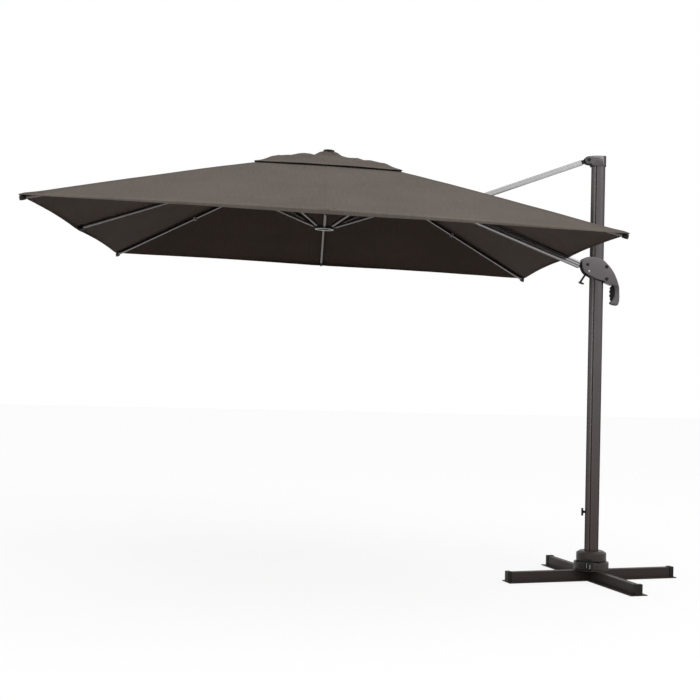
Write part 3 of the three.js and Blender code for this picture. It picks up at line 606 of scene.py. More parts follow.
def bolt(name, centre, half, washer, head, body, node, hexagon=True):
    """A through bolt along Y: a shank, a washer and a head on each side."""
    across = Matrix.Translation(centre) @ Matrix.Rotation(math.pi / 2, 4, "X")
    shank = [(0, -half), (head * 0.45, -half), (head * 0.45, half), (0, half)]
    parts = [turned_mesh(filleted(shank, 0.0003), across, sides=40)]
    for side in (-1, 1):
        seat = side * (half + 0.0002)
        disc = [(0, seat), (washer, seat), (washer, seat + side * 0.0014), (0, seat + side * 0.0014)]
        parts.append(turned_mesh(filleted(disc, 0.0004), across, sides=48))
        base = seat + side * 0.0014
        tall = side * head * 0.42
        crown_top, socket = base + tall * 1.16, base + tall * 0.6
        head_line = [(0, base), (head, base), (head, base + tall), (head * 0.86, crown_top)]
        head_line += [(head * 0.5, crown_top), (head * 0.46, socket), (0, socket)]
        parts.append(turned_mesh(head_line, across, sides=6 if hexagon else 40))
    piece = made(name, *merged(parts), black_steel, body, "bolt_steel", sharp=28)
    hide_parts(node)
    return piece


bolt("cap_bolt", top_pivot, cap_half, 0.0115, 0.0085, "mast", "top_pivot_bolt")

# ---------------------------------------------------------------- tie bar
# A bright aluminium tube of flat oval section between the cap and the boom. A nylon eye closes its
# upper end and a nylon fork its lower one.
tie_colour = (0.53, 0.53, 0.535)
tie_joint = Vector(joints["boom_fold"]["pos_m"])
rise = top_pivot - tie_joint
tie_turn = -math.atan2(rise.z, rise.x)
tie_length = rise.length


def along_bar(origin, turn):
    """A frame whose Z runs along a bar that is turned about Y, with X across it and Y up it."""
    x_axis = Matrix.Rotation(turn, 3, "Y") @ Vector((1, 0, 0))
    up = Matrix.Rotation(turn, 3, "Y") @ Vector((0, 0, 1))
    across = Vector((0, 1, 0))
    rows = [[across[i], up[i], x_axis[i], origin[i]] for i in range(3)]
    return Matrix(rows + [[0, 0, 0, 1]])


# Its edge value paints shade onto its colour where it is seen edge on.
tie_metal = finish(
    "tie_bright_drawn",
    tie_colour,
    0.3,
    0.55,
    mottle=0.03,
    grain=(6, 1100, 1100),
    relief=0.01,
    turn=tie_turn,
    edge=0.35,
)
tie_place = along_bar(tie_joint, tie_turn)
tie_wide, tie_tall, tie_corner = 0.008, 0.017, 0.0072
tie_groove, tie_notch = 0.0062, 0.0008
tie_half = arc((tie_wide - tie_corner, tie_tall - tie_corner), tie_corner, 90, 0, 8)
for level in (tie_groove, -tie_groove):
    tie_half += [(tie_wide, level + 0.0010), (tie_wide - tie_notch, level + 0.0004)]
    tie_half += [(tie_wide - tie_notch, level - 0.0004), (tie_wide, level - 0.0010)]
tie_half += arc((tie_wide - tie_corner, tie_corner - tie_tall), tie_corner, 0, -90, 8)
tie_outline = (tie_half + [(-x, y) for x, y in reversed(tie_half)])[::-1]
tie_bore = [(x * 0.72, y * 0.88) for x, y in tie_outline]
tie = made(
    "tie_tube",
    *extruded_mesh(tie_outline, tie_bore, tie_place, 0.170, tie_length - 0.044),
    tie_metal,
    "tie",
    "tie_silver",
)
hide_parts("tie_bar")
joint_plastic = finish("joint_nylon", (0.011, 0.011, 0.012), 0.45, grain=(1800, 1800, 1800))
dress(["tie_fork", "tie_eye"], joint_plastic, 0.0012)

# ---------------------------------------------------------------- boom
# A light grey anodised extrusion with two fine grooves on each side. Nylon fittings plug both ends:
# one hangs the hub, the other turns on the carriage.
boom_colour = (0.36, 0.35, 0.35)
hub_inner = Vector(joints["hub_fold"]["pos_m"])
carriage_pivot = Vector(joints["carriage_fold"]["pos_m"])
boom_cant = math.radians(1.655)
fall = carriage_pivot - tie_joint
boom_turn = math.atan2(-fall.z, fall.x) + boom_cant
boom_place = along_bar(tie_joint, boom_turn)
joint_drop = 0.0105
half_wide = 0.020
half_tall = 0.021
boom_groove = 0.0075
boom_notch = 0.0016


def boom_outline(step_in=0.0):
    """Half of the section from the top to the bottom, then its mirror image."""
    w, h, r = half_wide - step_in, half_tall - step_in, 0.006
    side = arc((w - r, h - r), r, 90, 0, 6)
    for level in (boom_groove, -boom_groove):
        side += [
            (w, level + 0.0021),
            (w - boom_notch, level + 0.0016),
            (w - boom_notch, level - 0.0016),
            (w, level - 0.0021),
        ]
    side += arc((w - r, r - h), r, 0, -90, 6)
    return side + [(-x, y) for x, y in reversed(side)]


# Its edge value paints shade onto its colour where it is seen edge on.
boom_metal = finish(
    "boom_anodising",
    boom_colour,
    0.25,
    0.85,
    mottle=0.05,
    grain=(5, 900, 900),
    relief=0.01,
    turn=boom_turn,
    edge=0.5,
)
tube_low, tube_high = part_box("boom_tube")
boom_direction = boom_place.to_3x3() @ Vector((0, 0, 1))
start_run = (tube_low.x + half_tall * abs(math.sin(boom_turn)) - tie_joint.x) / boom_direction.x
end_run = (tube_high.x - tie_joint.x) / boom_direction.x - half_tall * math.tan(boom_turn)
boom_section = [(x, y + joint_drop) for x, y in boom_outline()]
boom_hollow = [(x, y + joint_drop) for x, y in boom_outline(0.002)]
boom = made(
    "boom",
    *extruded_mesh(boom_section[::-1], boom_hollow[::-1], boom_place, start_run, end_run),
    boom_metal,
    "boom",
    "boom_anodised",
    sharp=40,
)
# The floors of the boom's fine grooves take the same painted shade.
boom.data.materials.append(groove_shade_paint)
for face in boom.data.polygons:
    spot = boom_place.inverted() @ face.center
    sunk = abs(abs(spot.x) - half_wide + boom_notch) < 0.0003
    if sunk and abs(abs(spot.y - joint_drop) - boom_groove) < 0.001:
        face.material_index = 1
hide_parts("boom_tube")
dress(["boom_head", "boom_foot"], joint_plastic, 0.0012)
bolt("tie_joint_bolt", tie_joint, 0.0255, 0.010, 0.0075, "boom", "tie_pivot_bolt")

# ---------------------------------------------------------------- carriage
# Two moulded housing halves, satin metallic grey, screwed together round a glide that runs on the
# mast. Their tail is the grip, with a rubber pad of four finger hollows, and a black release lever.
housing_colour = (0.195, 0.178, 0.185)
mast_side = 0.042
cheek_inner = 0.037
cheek_outer = 0.045
grip_half = 0.017
p = carriage_pivot.x
z = carriage_pivot.z
m = mast_side


def drawn(start, *rows):
    """A line from rows of an end point, or of a control point and an end point."""
    points = [start]
    for row in rows:
        if len(row) == 2:
            points.append(row)
        else:
            points += curve(points[-1], row[:2], row[2:], 18)[1:]
    return points


def spaced(points, count):
    """The same line as evenly spaced points."""
    lengths = [0.0]
    for a, b in zip(points, points[1:]):
        lengths.append(lengths[-1] + (Vector(b) - Vector(a)).length)
    even = []
    piece = 0
    for i in range(count):
        goal = lengths[-1] * i / (count - 1)
        while piece < len(points) - 2 and lengths[piece + 1] < goal:
            piece += 1
        share = (goal - lengths[piece]) / max(lengths[piece + 1] - lengths[piece], 1e-9)
        even.append(Vector(points[piece]).lerp(Vector(points[piece + 1]), min(share, 1.0)))
    return even


def eased(value, start, end):
    t = min(max((value - start) / (end - start), 0.0), 1.0)
    return t * t * (3 - 2 * t)


back_of_shell = drawn(
    (p - 0.0345, z + 0.010),
    (p - 0.035, z + 0.027, p - 0.020, z + 0.039),
    (p - 0.002, z + 0.049, p + 0.030, z + 0.048),
    (m - 0.026, z + 0.047, m + 0.003, z + 0.020),
    (m + 0.053, z - 0.026, m + 0.073, z - 0.078),
    (m + 0.086, z - 0.106, m + 0.092, z - 0.130),
)
belly_of_shell = drawn(
    (p - 0.0345, z + 0.004),
    (p - 0.027, z - 0.054, m - 0.092, z - 0.068),
    (m - 0.062, z - 0.086, m - 0.019, z - 0.097),
    (m + 0.012, z - 0.107, m + 0.042, z - 0.120),
)
back_of_grip = drawn(
    (m + 0.092, z - 0.130),
    (m + 0.102, z - 0.162, m + 0.102, z - 0.194),
    (m + 0.1022, z - 0.222, m + 0.095, z - 0.238),
)
belly_of_grip = drawn(
    (m + 0.042, z - 0.120),
    (m + 0.056, z - 0.120, m + 0.060, z - 0.126),
    (m + 0.079, z - 0.176, m + 0.051, z - 0.217),
    (m + 0.046, z - 0.224, m + 0.040, z - 0.229),
)
shell_steps, grip_steps = 44, 26
backs = spaced(back_of_shell, shell_steps) + spaced(back_of_grip, grip_steps)[1:]
bellies = spaced(belly_of_shell, shell_steps) + spaced(belly_of_grip, grip_steps)[1:]
rings = []
for i, (back, belly) in enumerate(zip(backs, bellies)):
    along = i / (shell_steps - 1) if i < shell_steps else 1 + (i - shell_steps + 1) / (grip_steps - 1)
    width = (back - belly).length
    depth = 2 * (cheek_outer + (grip_half - cheek_outer) * eased(along, 0.70, 1.55))
    corner = min(0.0060 + 0.0060 * eased(along, 0.95, 1.4), width * 0.48, depth * 0.48)
    middle = (back + belly) / 2
    out = (back - belly).normalized()
    rings.append(
        [
            Vector((middle.x + out.x * u, v, middle.y + out.y * u))
            for u, v in rounded_rectangle(width, depth, corner, 6)
        ]
    )
last_back, last_belly = backs[-1], bellies[-1]
tail = (last_back - last_belly).normalized()
down = Vector((tail.y, -tail.x))
if down.y > 0:
    down = -down
for step in range(1, 9):
    swing = step / 8 * math.pi / 2 * 0.98
    shrink = math.cos(swing)
    drop = 0.0125 * math.sin(swing)
    middle = (last_back + last_belly) / 2 + down * drop
    width = (last_back - last_belly).length * (0.25 + 0.75 * shrink)
    depth = 2 * grip_half * (0.25 + 0.75 * shrink)
    rings.append(
        [
            Vector((middle.x + tail.x * u, v, middle.y + tail.y * u))
            for u, v in rounded_rectangle(width, depth, min(0.012, width * 0.45, depth * 0.45), 6)
        ]
    )
ring_count = len(rings[0])
shell_vertices = [v for ring in rings for v in ring]
shell_faces = [
    list(range(ring_count))[::-1],
    [len(shell_vertices) - ring_count + i for i in range(ring_count)],
]
for level in range(len(rings) - 1):
    for i in range(ring_count):
        j = (i + 1) % ring_count
        base = level * ring_count
        shell_faces.append([base + i, base + j, base + ring_count + j, base + ring_count + i])
# Its edge value paints shade onto its colour where it is seen edge on.
housing_skin = finish(
    "housing_metallic",
    housing_colour,
    0.38,
    0.3,
    mottle=0.05,
    grain=(2600, 2600, 2600),
    relief=0.06,
    edge=0.25,
)
for side, label in ((-1, "front"), (1, "rear")):
    shell = made(
        f"housing_{label}_shell", shell_vertices, shell_faces, housing_skin, "carriage", "housing_grey"
    )
    far = side * 0.2
    combined(
        shell,
        [
            block((p - 0.1, min(0, -far), z - 0.4), (m + 0.3, max(0, -far), z + 0.3)),
            block((p - 0.1, -cheek_inner, z - 0.3), (m + 0.0064, cheek_inner, z + 0.2)),
        ],
        "DIFFERENCE",
        sharp=30,
    )
    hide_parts(f"housing_{label}")

glide_plastic = finish("glide_nylon", (0.010, 0.010, 0.010), 0.5, grain=(1500, 1500, 1500))
dress(["carriage_glide"], glide_plastic, 0.0012)
lever_plastic = finish("lever_black", (0.008, 0.008, 0.008), 0.35, grain=(1500, 1500, 1500))
dress(["release_lever"], lever_plastic, 0.0014)
bolt("carriage_bolt", carriage_pivot, cheek_outer, 0.0095, 0.0068, "carriage", "boom_pivot_bolt", False)
upper_spot = Vector((m + 0.011, 0, z - 0.011))
lower_spot = Vector((m + 0.012, 0, z - 0.086))
bolt("housing_screw_upper", upper_spot, cheek_outer, 0.0108, 0.0074, "carriage", "housing_screw_1", False)
bolt("housing_screw_lower", lower_spot, cheek_outer, 0.0108, 0.0074, "carriage", "housing_screw_2", False)

# Between the halves a black strip shows a little below the belly's edge as a dark line all along it: a
# painted shadow under the belly.
shade_line_top = drawn((p + 0.012, z - 0.0590), (m - 0.060, z - 0.080, m - 0.019, z - 0.0905))
shade_line_bottom = drawn((p + 0.008, z - 0.0640), (m - 0.063, z - 0.0905, m - 0.020, z - 0.1015))
for side, label in ((-1, "front"), (1, "rear")):
    plate(
        f"housing_shade_strip_{label}",
        shade_line_top + shade_line_bottom[::-1],
        *sorted((side * 0.0338, side * 0.0368)),
        glide_plastic,
        "carriage",
        "black_plastic",
        edge=0.0006,
    )

lever_pivot = Vector(joints["release_lever_press"]["pos_m"])
rivet = [(0, 0.0001), (0.0072, 0.0001), (0.0068, 0.0012), (0.0045, 0.0021), (0, 0.0024)]
for side, label in ((-1, "front"), (1, "rear")):
    seat = facing(lever_pivot + Vector((0, side * cheek_outer, 0)), side)
    turned(f"lever_rivet_{label}", rivet, zinc, "lever", "bolt_steel", seat, sides=32)

# ---------------------------------------------------------------- grip pad
# Soft black rubber pressed into the grip's inner side, with four rounded hollows for the fingers.
pad_top = z - 0.124
pad_pitch = 0.025
pad_points = [(m + 0.0592, pad_top)]
for finger in range(3):
    next_ridge = (m + 0.048, pad_top + 0.001 - (finger + 1) * pad_pitch)
    hollow = (m + 0.035, pad_top + 0.001 - (finger + 0.5) * pad_pitch)
    pad_points += curve(pad_points[-1], hollow, next_ridge, 12)[1:]
pad_points += curve(pad_points[-1], (m + 0.043, pad_top - 0.084), (m + 0.0490, pad_top - 0.093), 8)[1:]
pad_points += curve(
    (m + 0.0535, pad_top - 0.0915), (m + 0.0815, pad_top - 0.052), (m + 0.0620, pad_top - 0.0005), 16
)
pad_rubber = finish("grip_rubber_skin", (0.011, 0.010, 0.010), 0.75, grain=(3000, 3000, 3000), relief=0.5)
pad = plate(
    "grip_rubber_pad", pad_points, -0.014, 0.014, pad_rubber, "carriage", "grip_rubber", edge=0.0028, steps=4
)
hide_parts("grip_pad")

# ---------------------------------------------------------------- hub and runner
# Black glass-filled nylon discs with a slot for each rib or strut. The upper one closes under a
# domed cap that holds the cloth; the lower one has a bright wire round its rim.
hub_outer = Vector(joints["rib_outer_fold"]["pos_m"])
radial = (hub_inner - hub_outer).normalized()
lift = Vector((-radial.z, 0, radial.x))
tilt = math.atan2(-radial.z, radial.x)
hinge_depth = 0.02775766
hinge_radius = (hub_inner - hub_outer).length / 2
canopy_origin = (hub_inner + hub_outer) / 2 + lift * hinge_depth
canopy_place = Matrix.Translation(canopy_origin) @ Matrix.Rotation(tilt, 4, "Y")
hub_plastic = finish("hub_nylon", (0.012, 0.011, 0.011), 0.5, grain=(1400, 1400, 1400))
dress(["hub", "runner"], hub_plastic, 0.0010)
dome = filleted(
    [(0, -0.0002), (0.012, -0.0002), (0.038, -0.0084), (0.0392, -0.0040), (0.0352, 0.0040)]
    + [(0.0345, 0.0150), (0.0300, 0.0172), (0.013, 0.0180), (0.0115, 0.0205), (0, 0.0208)],
    0.0025,
)
hub_dome = turned("hub_dome", dome, hub_plastic, "hub", "hub_plastic", canopy_place, sides=72)
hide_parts("hub_cap")
runner_pivot = Vector(joints["runner_fold"]["pos_m"])
runner_depth = (canopy_origin - runner_pivot).dot(lift)
wire_colour = (0.55, 0.54, 0.53)
wire_metal = finish("bright_wire", wire_colour, 0.3, 0.7, grain=(800, 800, 800), relief=0.1)
wire_ring, wire_thick, wire_low = 0.0545, 0.0022, 0.0118
wire_profile = [
    (wire_ring + wire_thick * math.cos(a), -runner_depth - wire_low + wire_thick * math.sin(a))
    for a in (2 * math.pi * i / 10 for i in range(10))
]
turned("runner_wire", wire_profile, wire_metal, "runner", "bolt_steel", canopy_place, closed=True, sides=72)

# ---------------------------------------------------------------- ribs and struts
# Grey anodised aluminium tubes. Each rib turns on the hub and ends in a black plug under the cloth's
# hem; each strut runs from the rib down to the runner. White clips tie the cloth to the corner ribs.
rib_colour = (0.125, 0.117, 0.114)
rib_names = {
    45: "back_inner",
    90: "back",
    135: "back_outer",
    180: "outer",
    225: "front_outer",
    270: "front",
    315: "front_inner",
}
canopy_half = 1.5
rib_paint = finish(
    "rib_anodising", rib_colour, 0.28, 0.92, mottle=0.06, grain=(1100, 1100, 1100), relief=0.06
)
tip_plastic = finish("rib_tip_nylon", (0.008, 0.008, 0.008), 0.45, grain=(1800, 1800, 1800))
clip_plastic = finish(
    "cloth_clip_white", (0.72, 0.71, 0.69), 0.4, mottle=0.04, grain=(1500, 1500, 1500), relief=0.1
)
dress([f"rib_{name}" for name in rib_names.values()], rib_paint, 0.0006)
dress([f"strut_{name}" for name in rib_names.values()] + ["strut_boom"], rib_paint, 0.0006)


def rib_place(name):
    """A frame on a rib's hinge, with Z along the rib, X across it and Y up."""
    origin = Vector(joints[f"rib_{name}_fold"]["pos_m"])
    along = (Vector(joints[f"strut_{name}_fold"]["pos_m"]) - origin).normalized()
    across = Vector(joints[f"rib_{name}_fold"]["axis"]).normalized()
    up = along.cross(across)
    rows = [[across[i], up[i], along[i], origin[i]] for i in range(3)]
    return Matrix(rows + [[0, 0, 0, 1]])


def tapered(name, sections, place, material, body, slot):
    """A moulding through rounded rectangles of (run, width, height, corner, rise)."""
    vertices, faces = [], []
    for run, width, height, corner, rise_up in sections:
        vertices += [
            place @ Vector((x, y + rise_up, run)) for x, y in rounded_rectangle(width, height, corner, 5)
        ]
    count = len(vertices) // len(sections)
    for level in range(len(sections) - 1):
        for i in range(count):
            j = (i + 1) % count
            a = level * count
            faces.append((a + i, a + j, a + count + j, a + count + i))
    faces.append(list(range(count))[::-1])
    faces.append(list(range(len(vertices) - count, len(vertices))))
    return made(name, vertices, faces, material, body, slot)


for turn, name in rib_names.items():
    corner_rib = turn % 90 != 0
    place = rib_place(name)
    along = place.to_3x3() @ Vector((0, 0, 1))
    slope = math.acos(min(1.0, along.dot((along - lift * along.dot(lift)).normalized())))
    reach = canopy_half * (math.sqrt(2) if corner_rib else 1.0)
    length = (reach - hinge_radius) / math.cos(slope) - 0.012
    tapered(
        f"rib_tip_{name}",
        [
            (length - 0.0260, 0.0168, 0.0230, 0.0030, -0.0030),
            (length - 0.0250, 0.0180, 0.0242, 0.0036, -0.0036),
            (length - 0.0060, 0.0180, 0.0250, 0.0042, -0.0042),
            (length + 0.0020, 0.0165, 0.0220, 0.0050, -0.0050),
            (length + 0.0040, 0.0120, 0.0160, 0.0045, -0.0054),
        ],
        place,
        tip_plastic,
        f"rib_{name}",
        "black_plastic",
    )
    if corner_rib:
        clip_run = length * 0.58
        tapered(
            f"cloth_clip_{name}",
            [
                (clip_run - 0.010, 0.0170, 0.0180, 0.0036, -0.0050),
                (clip_run - 0.009, 0.0190, 0.0200, 0.0040, -0.0050),
                (clip_run + 0.009, 0.0190, 0.0200, 0.0040, -0.0050),
                (clip_run + 0.010, 0.0170, 0.0180, 0.0036, -0.0050),
            ],
            place,
            clip_plastic,
            f"rib_{name}",
            "black_plastic",
        )
        tapered(
            f"cloth_clip_{name}_foot",
            [
                (clip_run - 0.007, 0.0080, 0.0080, 0.0022, -0.0170),
                (clip_run + 0.007, 0.0080, 0.0080, 0.0022, -0.0170),
            ],
            place,
            clip_plastic,
            f"rib_{name}",
            "black_plastic",
        )

# ---------------------------------------------------------------- canopy
# Woven polyester in four panels, felled together along the corner ribs and hemmed all round. It is
# made in eight gores, each on its own rib, which meet edge to edge half way between two ribs.
cloth_colour = (0.166, 0.140, 0.121)
# The underside is the same cloth; its darker colour is painted shade.
underside_shade_colour = (0.100, 0.068, 0.054)
mid_drop = 0.549
boom_drop = 0.537
corner_drop = 0.568
vent_hole = 0.300
edge_inset = 0.012
cloth_thick = 0.0009
hem_wide = 0.026
seam_half = 0.007


def woven(name, colour, slub):
    """Plain weave: threads both ways along the cloth's own lengths, with thicker threads here and there."""
    material = bpy.data.materials.new(name)
    material.use_nodes = True
    tree = material.node_tree
    shader = tree.nodes["Principled BSDF"]
    shader.inputs["Roughness"].default_value = 0.82
    shader.inputs["Specular IOR Level"].default_value = 0.10
    shader.inputs["Sheen Weight"].default_value = 0.05
    shader.inputs["Sheen Roughness"].default_value = 0.5
    place = add_node(tree, "UVMap", uv_map="cloth")
    bands = {"Scale": 260, "Distortion": 0.6, "Detail": 1}
    warp = add_node(tree, "TexWave", bands, wave_type="BANDS", bands_direction="X")
    weft = add_node(tree, "TexWave", bands, wave_type="BANDS", bands_direction="Y")
    cross = add_node(tree, "Math", operation="MULTIPLY")
    long_way = add_node(tree, "Mapping", {"Scale": (5, 150, 1)})
    short_way = add_node(tree, "Mapping", {"Scale": (150, 5, 1)})
    slubs = add_node(tree, "TexNoise", {"Scale": 1, "Detail": 3})
    slubs_across = add_node(tree, "TexNoise", {"Scale": 1, "Detail": 3})
    uneven = add_node(tree, "Math", operation="ADD")
    fade = add_node(tree, "TexNoise", {"Scale": 2.2, "Detail": 5})
    both = add_node(tree, "Math", {1: 0.9}, operation="MULTIPLY_ADD")
    spread = add_node(tree, "MapRange", {"From Min": 0.95, "From Max": 1.85})
    tint = add_node(tree, "Mix", tints(colour, slub), data_type="RGBA")
    bump = add_node(tree, "Bump", {"Strength": 0.35, "Distance": 0.0004})
    wire(
        tree,
        *((place, "UV", textured, "Vector") for textured in (warp, weft, long_way, short_way, fade)),
        (long_way, "Vector", slubs, "Vector"),
        (short_way, "Vector", slubs_across, "Vector"),
        (slubs, "Fac", uneven, 0),
        (slubs_across, "Fac", uneven, 1),
        (uneven, "Value", both, 0),
        (fade, "Fac", both, 2),
        (both, "Value", spread, "Value"),
        (spread, "Result", tint, "Factor"),
        (tint, "Result", shader, "Base Color"),
        (warp, "Fac", cross, 0),
        (weft, "Fac", cross, 1),
        (cross, "Value", bump, "Height"),
        (bump, "Normal", shader, "Normal"),
    )
    return material


cloth = woven("canopy_weave", cloth_colour, 0.22)
underside_shade_weave = woven("canopy_weave_underside_shade", underside_shade_colour, 0.22)


def cloth_height(x, y):
    """Height of the taut cloth under a point of the canopy's own frame."""
    far = max(abs(x), abs(y))
    near = min(abs(x), abs(y))
    drop = boom_drop if x > 0 and abs(x) >= abs(y) else mid_drop
    return -(far * drop + near * (corner_drop - drop)) / canopy_half


def bell(value, width):
    return math.exp(-((value / width) ** 2))


def ring_point(around, side, half, inset):
    """The point at a share of the way round a square ring; each side is two units long."""
    along = around - 2 * side
    out = half - inset * math.sin(math.pi * abs(along))
    across = along * half
    turn = side * math.pi / 2
    x = out * math.cos(turn) - across * math.sin(turn)
    y = out * math.sin(turn) + across * math.cos(turn)
    return x, y, across, out


def sewn(name, rib, rows, columns, shape, body, node, opening=None):
    """One gore of closed cloth on rib number rib, from the rows (share of the way out) and columns."""
    split = math.tan(math.pi / 8) if rib % 2 == 0 else 1 - math.tan(math.pi / 8)
    found = {}
    points, over, under = [], [], []

    def corner(row, column, hand):
        half, inset = shape["half"](row), shape["inset"](row)
        gap = opening(half) if opening else 0.0
        metric = [gap, max(seam_half, gap + 0.006), max(seam_half, gap + 0.006) + 0.0012]
        if column < 3:
            offset = metric[column] / half
        else:
            offset = metric[2] / half + (split - metric[2] / half) * columns[column]
        around = rib + hand * offset
        side = round(rib / 2) if rib % 2 == 0 else (rib + hand) // 2
        x, y, across, out = ring_point(around, side, half, inset)
        key = (round(x, 6), round(y, 6))
        if key not in found:
            found[key] = len(points)
            rise_up, above, below = shape["skin"](row, x, y, min(offset / split, 1.0), half, column)
            points.append(Vector((x, y, cloth_height(x, y) + rise_up)))
            over.append(above)
            under.append(below)
        return found[key], (across, out)

    quads, marks = [], []
    for hand in (1, -1):
        for row, further in zip(rows, rows[1:]):
            for column in range(len(columns) - 1):
                cells = [
                    corner(row, column, hand),
                    corner(further, column, hand),
                    corner(further, column + 1, hand),
                    corner(row, column + 1, hand),
                ]
                if hand < 0:
                    cells.reverse()
                ids = list(dict.fromkeys(cell[0] for cell in cells))
                if len(ids) < 3:
                    continue
                quads.append(ids)
                marks.append([dict(cells)[i] for i in ids])
    count = len(points)
    vertices = [canopy_place @ (v + Vector((0, 0, up))) for v, up in zip(points, over)]
    vertices += [canopy_place @ (v - Vector((0, 0, down))) for v, down in zip(points, under)]
    used = {}
    for quad in quads:
        for a, b in zip(quad, quad[1:] + quad[:1]):
            used[(a, b)] = used.get((a, b), 0) + 1
    faces = [list(quad) for quad in quads]
    faces += [[count + i for i in reversed(quad)] for quad in quads]
    flat_marks = marks + [list(reversed(mark)) for mark in marks]
    where = {i: mark for quad, row_marks in zip(quads, marks) for i, mark in zip(quad, row_marks)}
    for a, b in used:
        if (b, a) not in used:
            faces.append([b, a, count + a, count + b])
            flat_marks.append([where[b], where[a], where[a], where[b]])
    mesh = bpy.data.meshes.new(name)
    mesh.from_pydata([tuple(v) for v in vertices], [], faces)
    mesh.materials.append(cloth)
    # The lower faces take the darker underside colour, a painted shade.
    mesh.materials.append(underside_shade_weave)
    layer = mesh.uv_layers.new(name="cloth")
    for polygon, face_marks in zip(mesh.polygons, flat_marks):
        polygon.material_index = 1 if len(quads) <= polygon.index < 2 * len(quads) else 0
        for loop, mark in zip(polygon.loop_indices, face_marks):
            layer.data[loop].uv = mark
    mesh.shade_smooth()
    mesh.set_sharp_from_angle(angle=math.radians(38))
    piece = bpy.data.objects.new(name, mesh)
    bpy.context.scene.collection.objects.link(piece)
    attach(piece, body)
    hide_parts(node)
    area = sum(polygon.area for polygon in mesh.polygons if polygon.index < len(quads))
    return piece, area


def canopy_skin(row, x, y, away, half, column):
    """Rise of the cloth over its taut shape, and its thickness up and down from there."""
    loose = noise.noise(Vector((x * 1.9, y * 1.9, 0.3))) * 0.0035 * math.sin(math.pi * min(max(row, 0), 1))
    fine = noise.noise(Vector((x * 7.0, y * 7.0, 4.0))) * 0.0009
    far, near = max(abs(x), abs(y)), min(abs(x), abs(y))
    inside = 1 - (near / max(far, 0.001)) ** 4
    fine += noise.noise(Vector((near * 1.3, far * 15.0, 9.0))) * 0.0017 * inside
    fine += noise.noise(Vector(((x - y) * 34.0, far * 1.6, 2.0))) * 0.0010 * bell(near, 0.13) * inside
    arch = 0.0075 * math.sin(math.pi * row) * (1 - 0.35 * away)
    tip = 0.0050 * bell(away * half * 0.41, 0.030) * bell((canopy_half - half) - 0.034, 0.034)
    turned_down = 0.017 * (1 - near / far) if row == 1.0 else 0.0
    hemmed = half > canopy_half - hem_wide
    felled = column <= 1
    above = cloth_thick + (0.0007 if hemmed else 0) + (0.0008 if felled else 0)
    below = 0.0004 if hemmed else 0.0
    return loose + fine + arch + tip - turned_down, above, below


hem_row = 1 - hem_wide / (canopy_half - vent_hole)
row_step = 0.0009
canopy_rows = [0.0, 0.02] + [0.02 + (hem_row - 0.02) * i / 26 for i in range(1, 26)]
canopy_rows += [hem_row - row_step, hem_row + row_step, (hem_row + 1) / 2, 1 - 4 * row_step, 1.0]
canopy_columns = [0, 0, 0] + [i / 11 for i in range(1, 12)]
canopy_shape = {
    "half": lambda row: vent_hole + (canopy_half - vent_hole) * row,
    "inset": lambda row: edge_inset * row,
    "skin": canopy_skin,
}
slot_centre = (tie_joint - canopy_origin).dot(radial) - 0.020
slot_long = 0.135
slot_wide = 0.030


def tie_slot(half):
    """Half the width of the slit that the tie bar comes out of."""
    away = abs(half - slot_centre) / slot_long
    return slot_wide * math.cos(away * math.pi / 2) ** 0.7 if away < 1 else 0.0


gore_bodies = {0: "boom"}
gore_bodies.update({turn // 45: f"rib_{name}" for turn, name in rib_names.items()})
slot_rows = [
    (slot_centre + slot_long * share - vent_hole) / (canopy_half - vent_hole)
    for share in (-0.999, -0.93, -0.8, 0.8, 0.93, 0.999)
]
boom_rows = sorted(canopy_rows + slot_rows)


def folded_by(piece):
    """Gives the gore a mesh of its own."""
    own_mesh(piece)


for rib, body in gore_bodies.items():
    gore, area = sewn(
        f"canopy_gore_{body.replace('rib_', '')}",
        rib,
        boom_rows if rib == 0 else canopy_rows,
        canopy_columns,
        canopy_shape,
        body,
        "canopy",
        opening=tie_slot if rib == 0 else None,
    )
    reach = canopy_half * (math.sqrt(2) if rib % 2 else 1)
    folded_by(gore)

# ---------------------------------------------------------------- vent
# A second, smaller square of the same cloth over the hole at the top, held by the cap and sewn down
# only at its ribs, so that wind lifts it. It is loose and lies in soft folds.
vent_inner = 0.022
vent_half = 0.429
vent_lift = 0.013


def vent_skin(row, x, y, away, half, column):
    turn = math.atan2(y, x)
    out = math.hypot(x, y)
    gathers = 0.0062 * math.sin(17 * turn + 1.5) * bell(out - 0.075, 0.050)
    neck = 0.010 * bell(out - 0.050, 0.030) - 0.011 * bell(out - 0.135, 0.050)
    billow = 0.010 * math.sin(math.pi * min(row * 1.05, 1)) * math.sin(math.pi * min(away, 1)) ** 0.8
    loose = noise.noise(Vector((x * 5.0, y * 5.0, 7.3)))
    crease = abs(noise.noise(Vector((x * 6.0 + y * 3.0, y * 6.0 - x * 3.0, 5.0))))
    along_fold = x * 0.90 + (y + 0.10) * 0.44
    across_fold = (y + 0.10) * 0.90 - x * 0.44
    pleat = 0.007 * bell(across_fold + 0.030, 0.045) - 0.022 * bell(across_fold, 0.017)
    pleat *= eased(along_fold, -0.33, -0.22) * (1 - eased(along_fold, -0.07, 0.0))
    folds = (0.014 * loose + 0.022 * (0.26 - crease)) * math.sin(math.pi * row) * eased(row, 0.1, 0.4)
    shift = 4 * noise.noise(Vector((x * 3, y * 3, 1.0)))
    hem_wave = 0.0007 * (1 + math.sin(9 * turn + shift)) * eased(row, 0.7, 1.0)
    seat = 0.0016
    if half >= vent_hole - 0.01:
        seat += 0.0085 * (1 - eased(row, 0.72, 0.97)) + 0.0052 * eased(row, 0.5, 0.74)
    lifted = vent_lift * math.sin(math.pi * min(row * 0.62, 0.5)) * 0.5
    rise_up = max(lifted + gathers + neck + billow + folds + pleat, 0) + seat + hem_wave
    above = cloth_thick + (0.0006 if row > 0.94 else 0) + (0.0006 if column <= 1 else 0)
    return rise_up, above, 0.0004 if row > 0.94 else 0.0


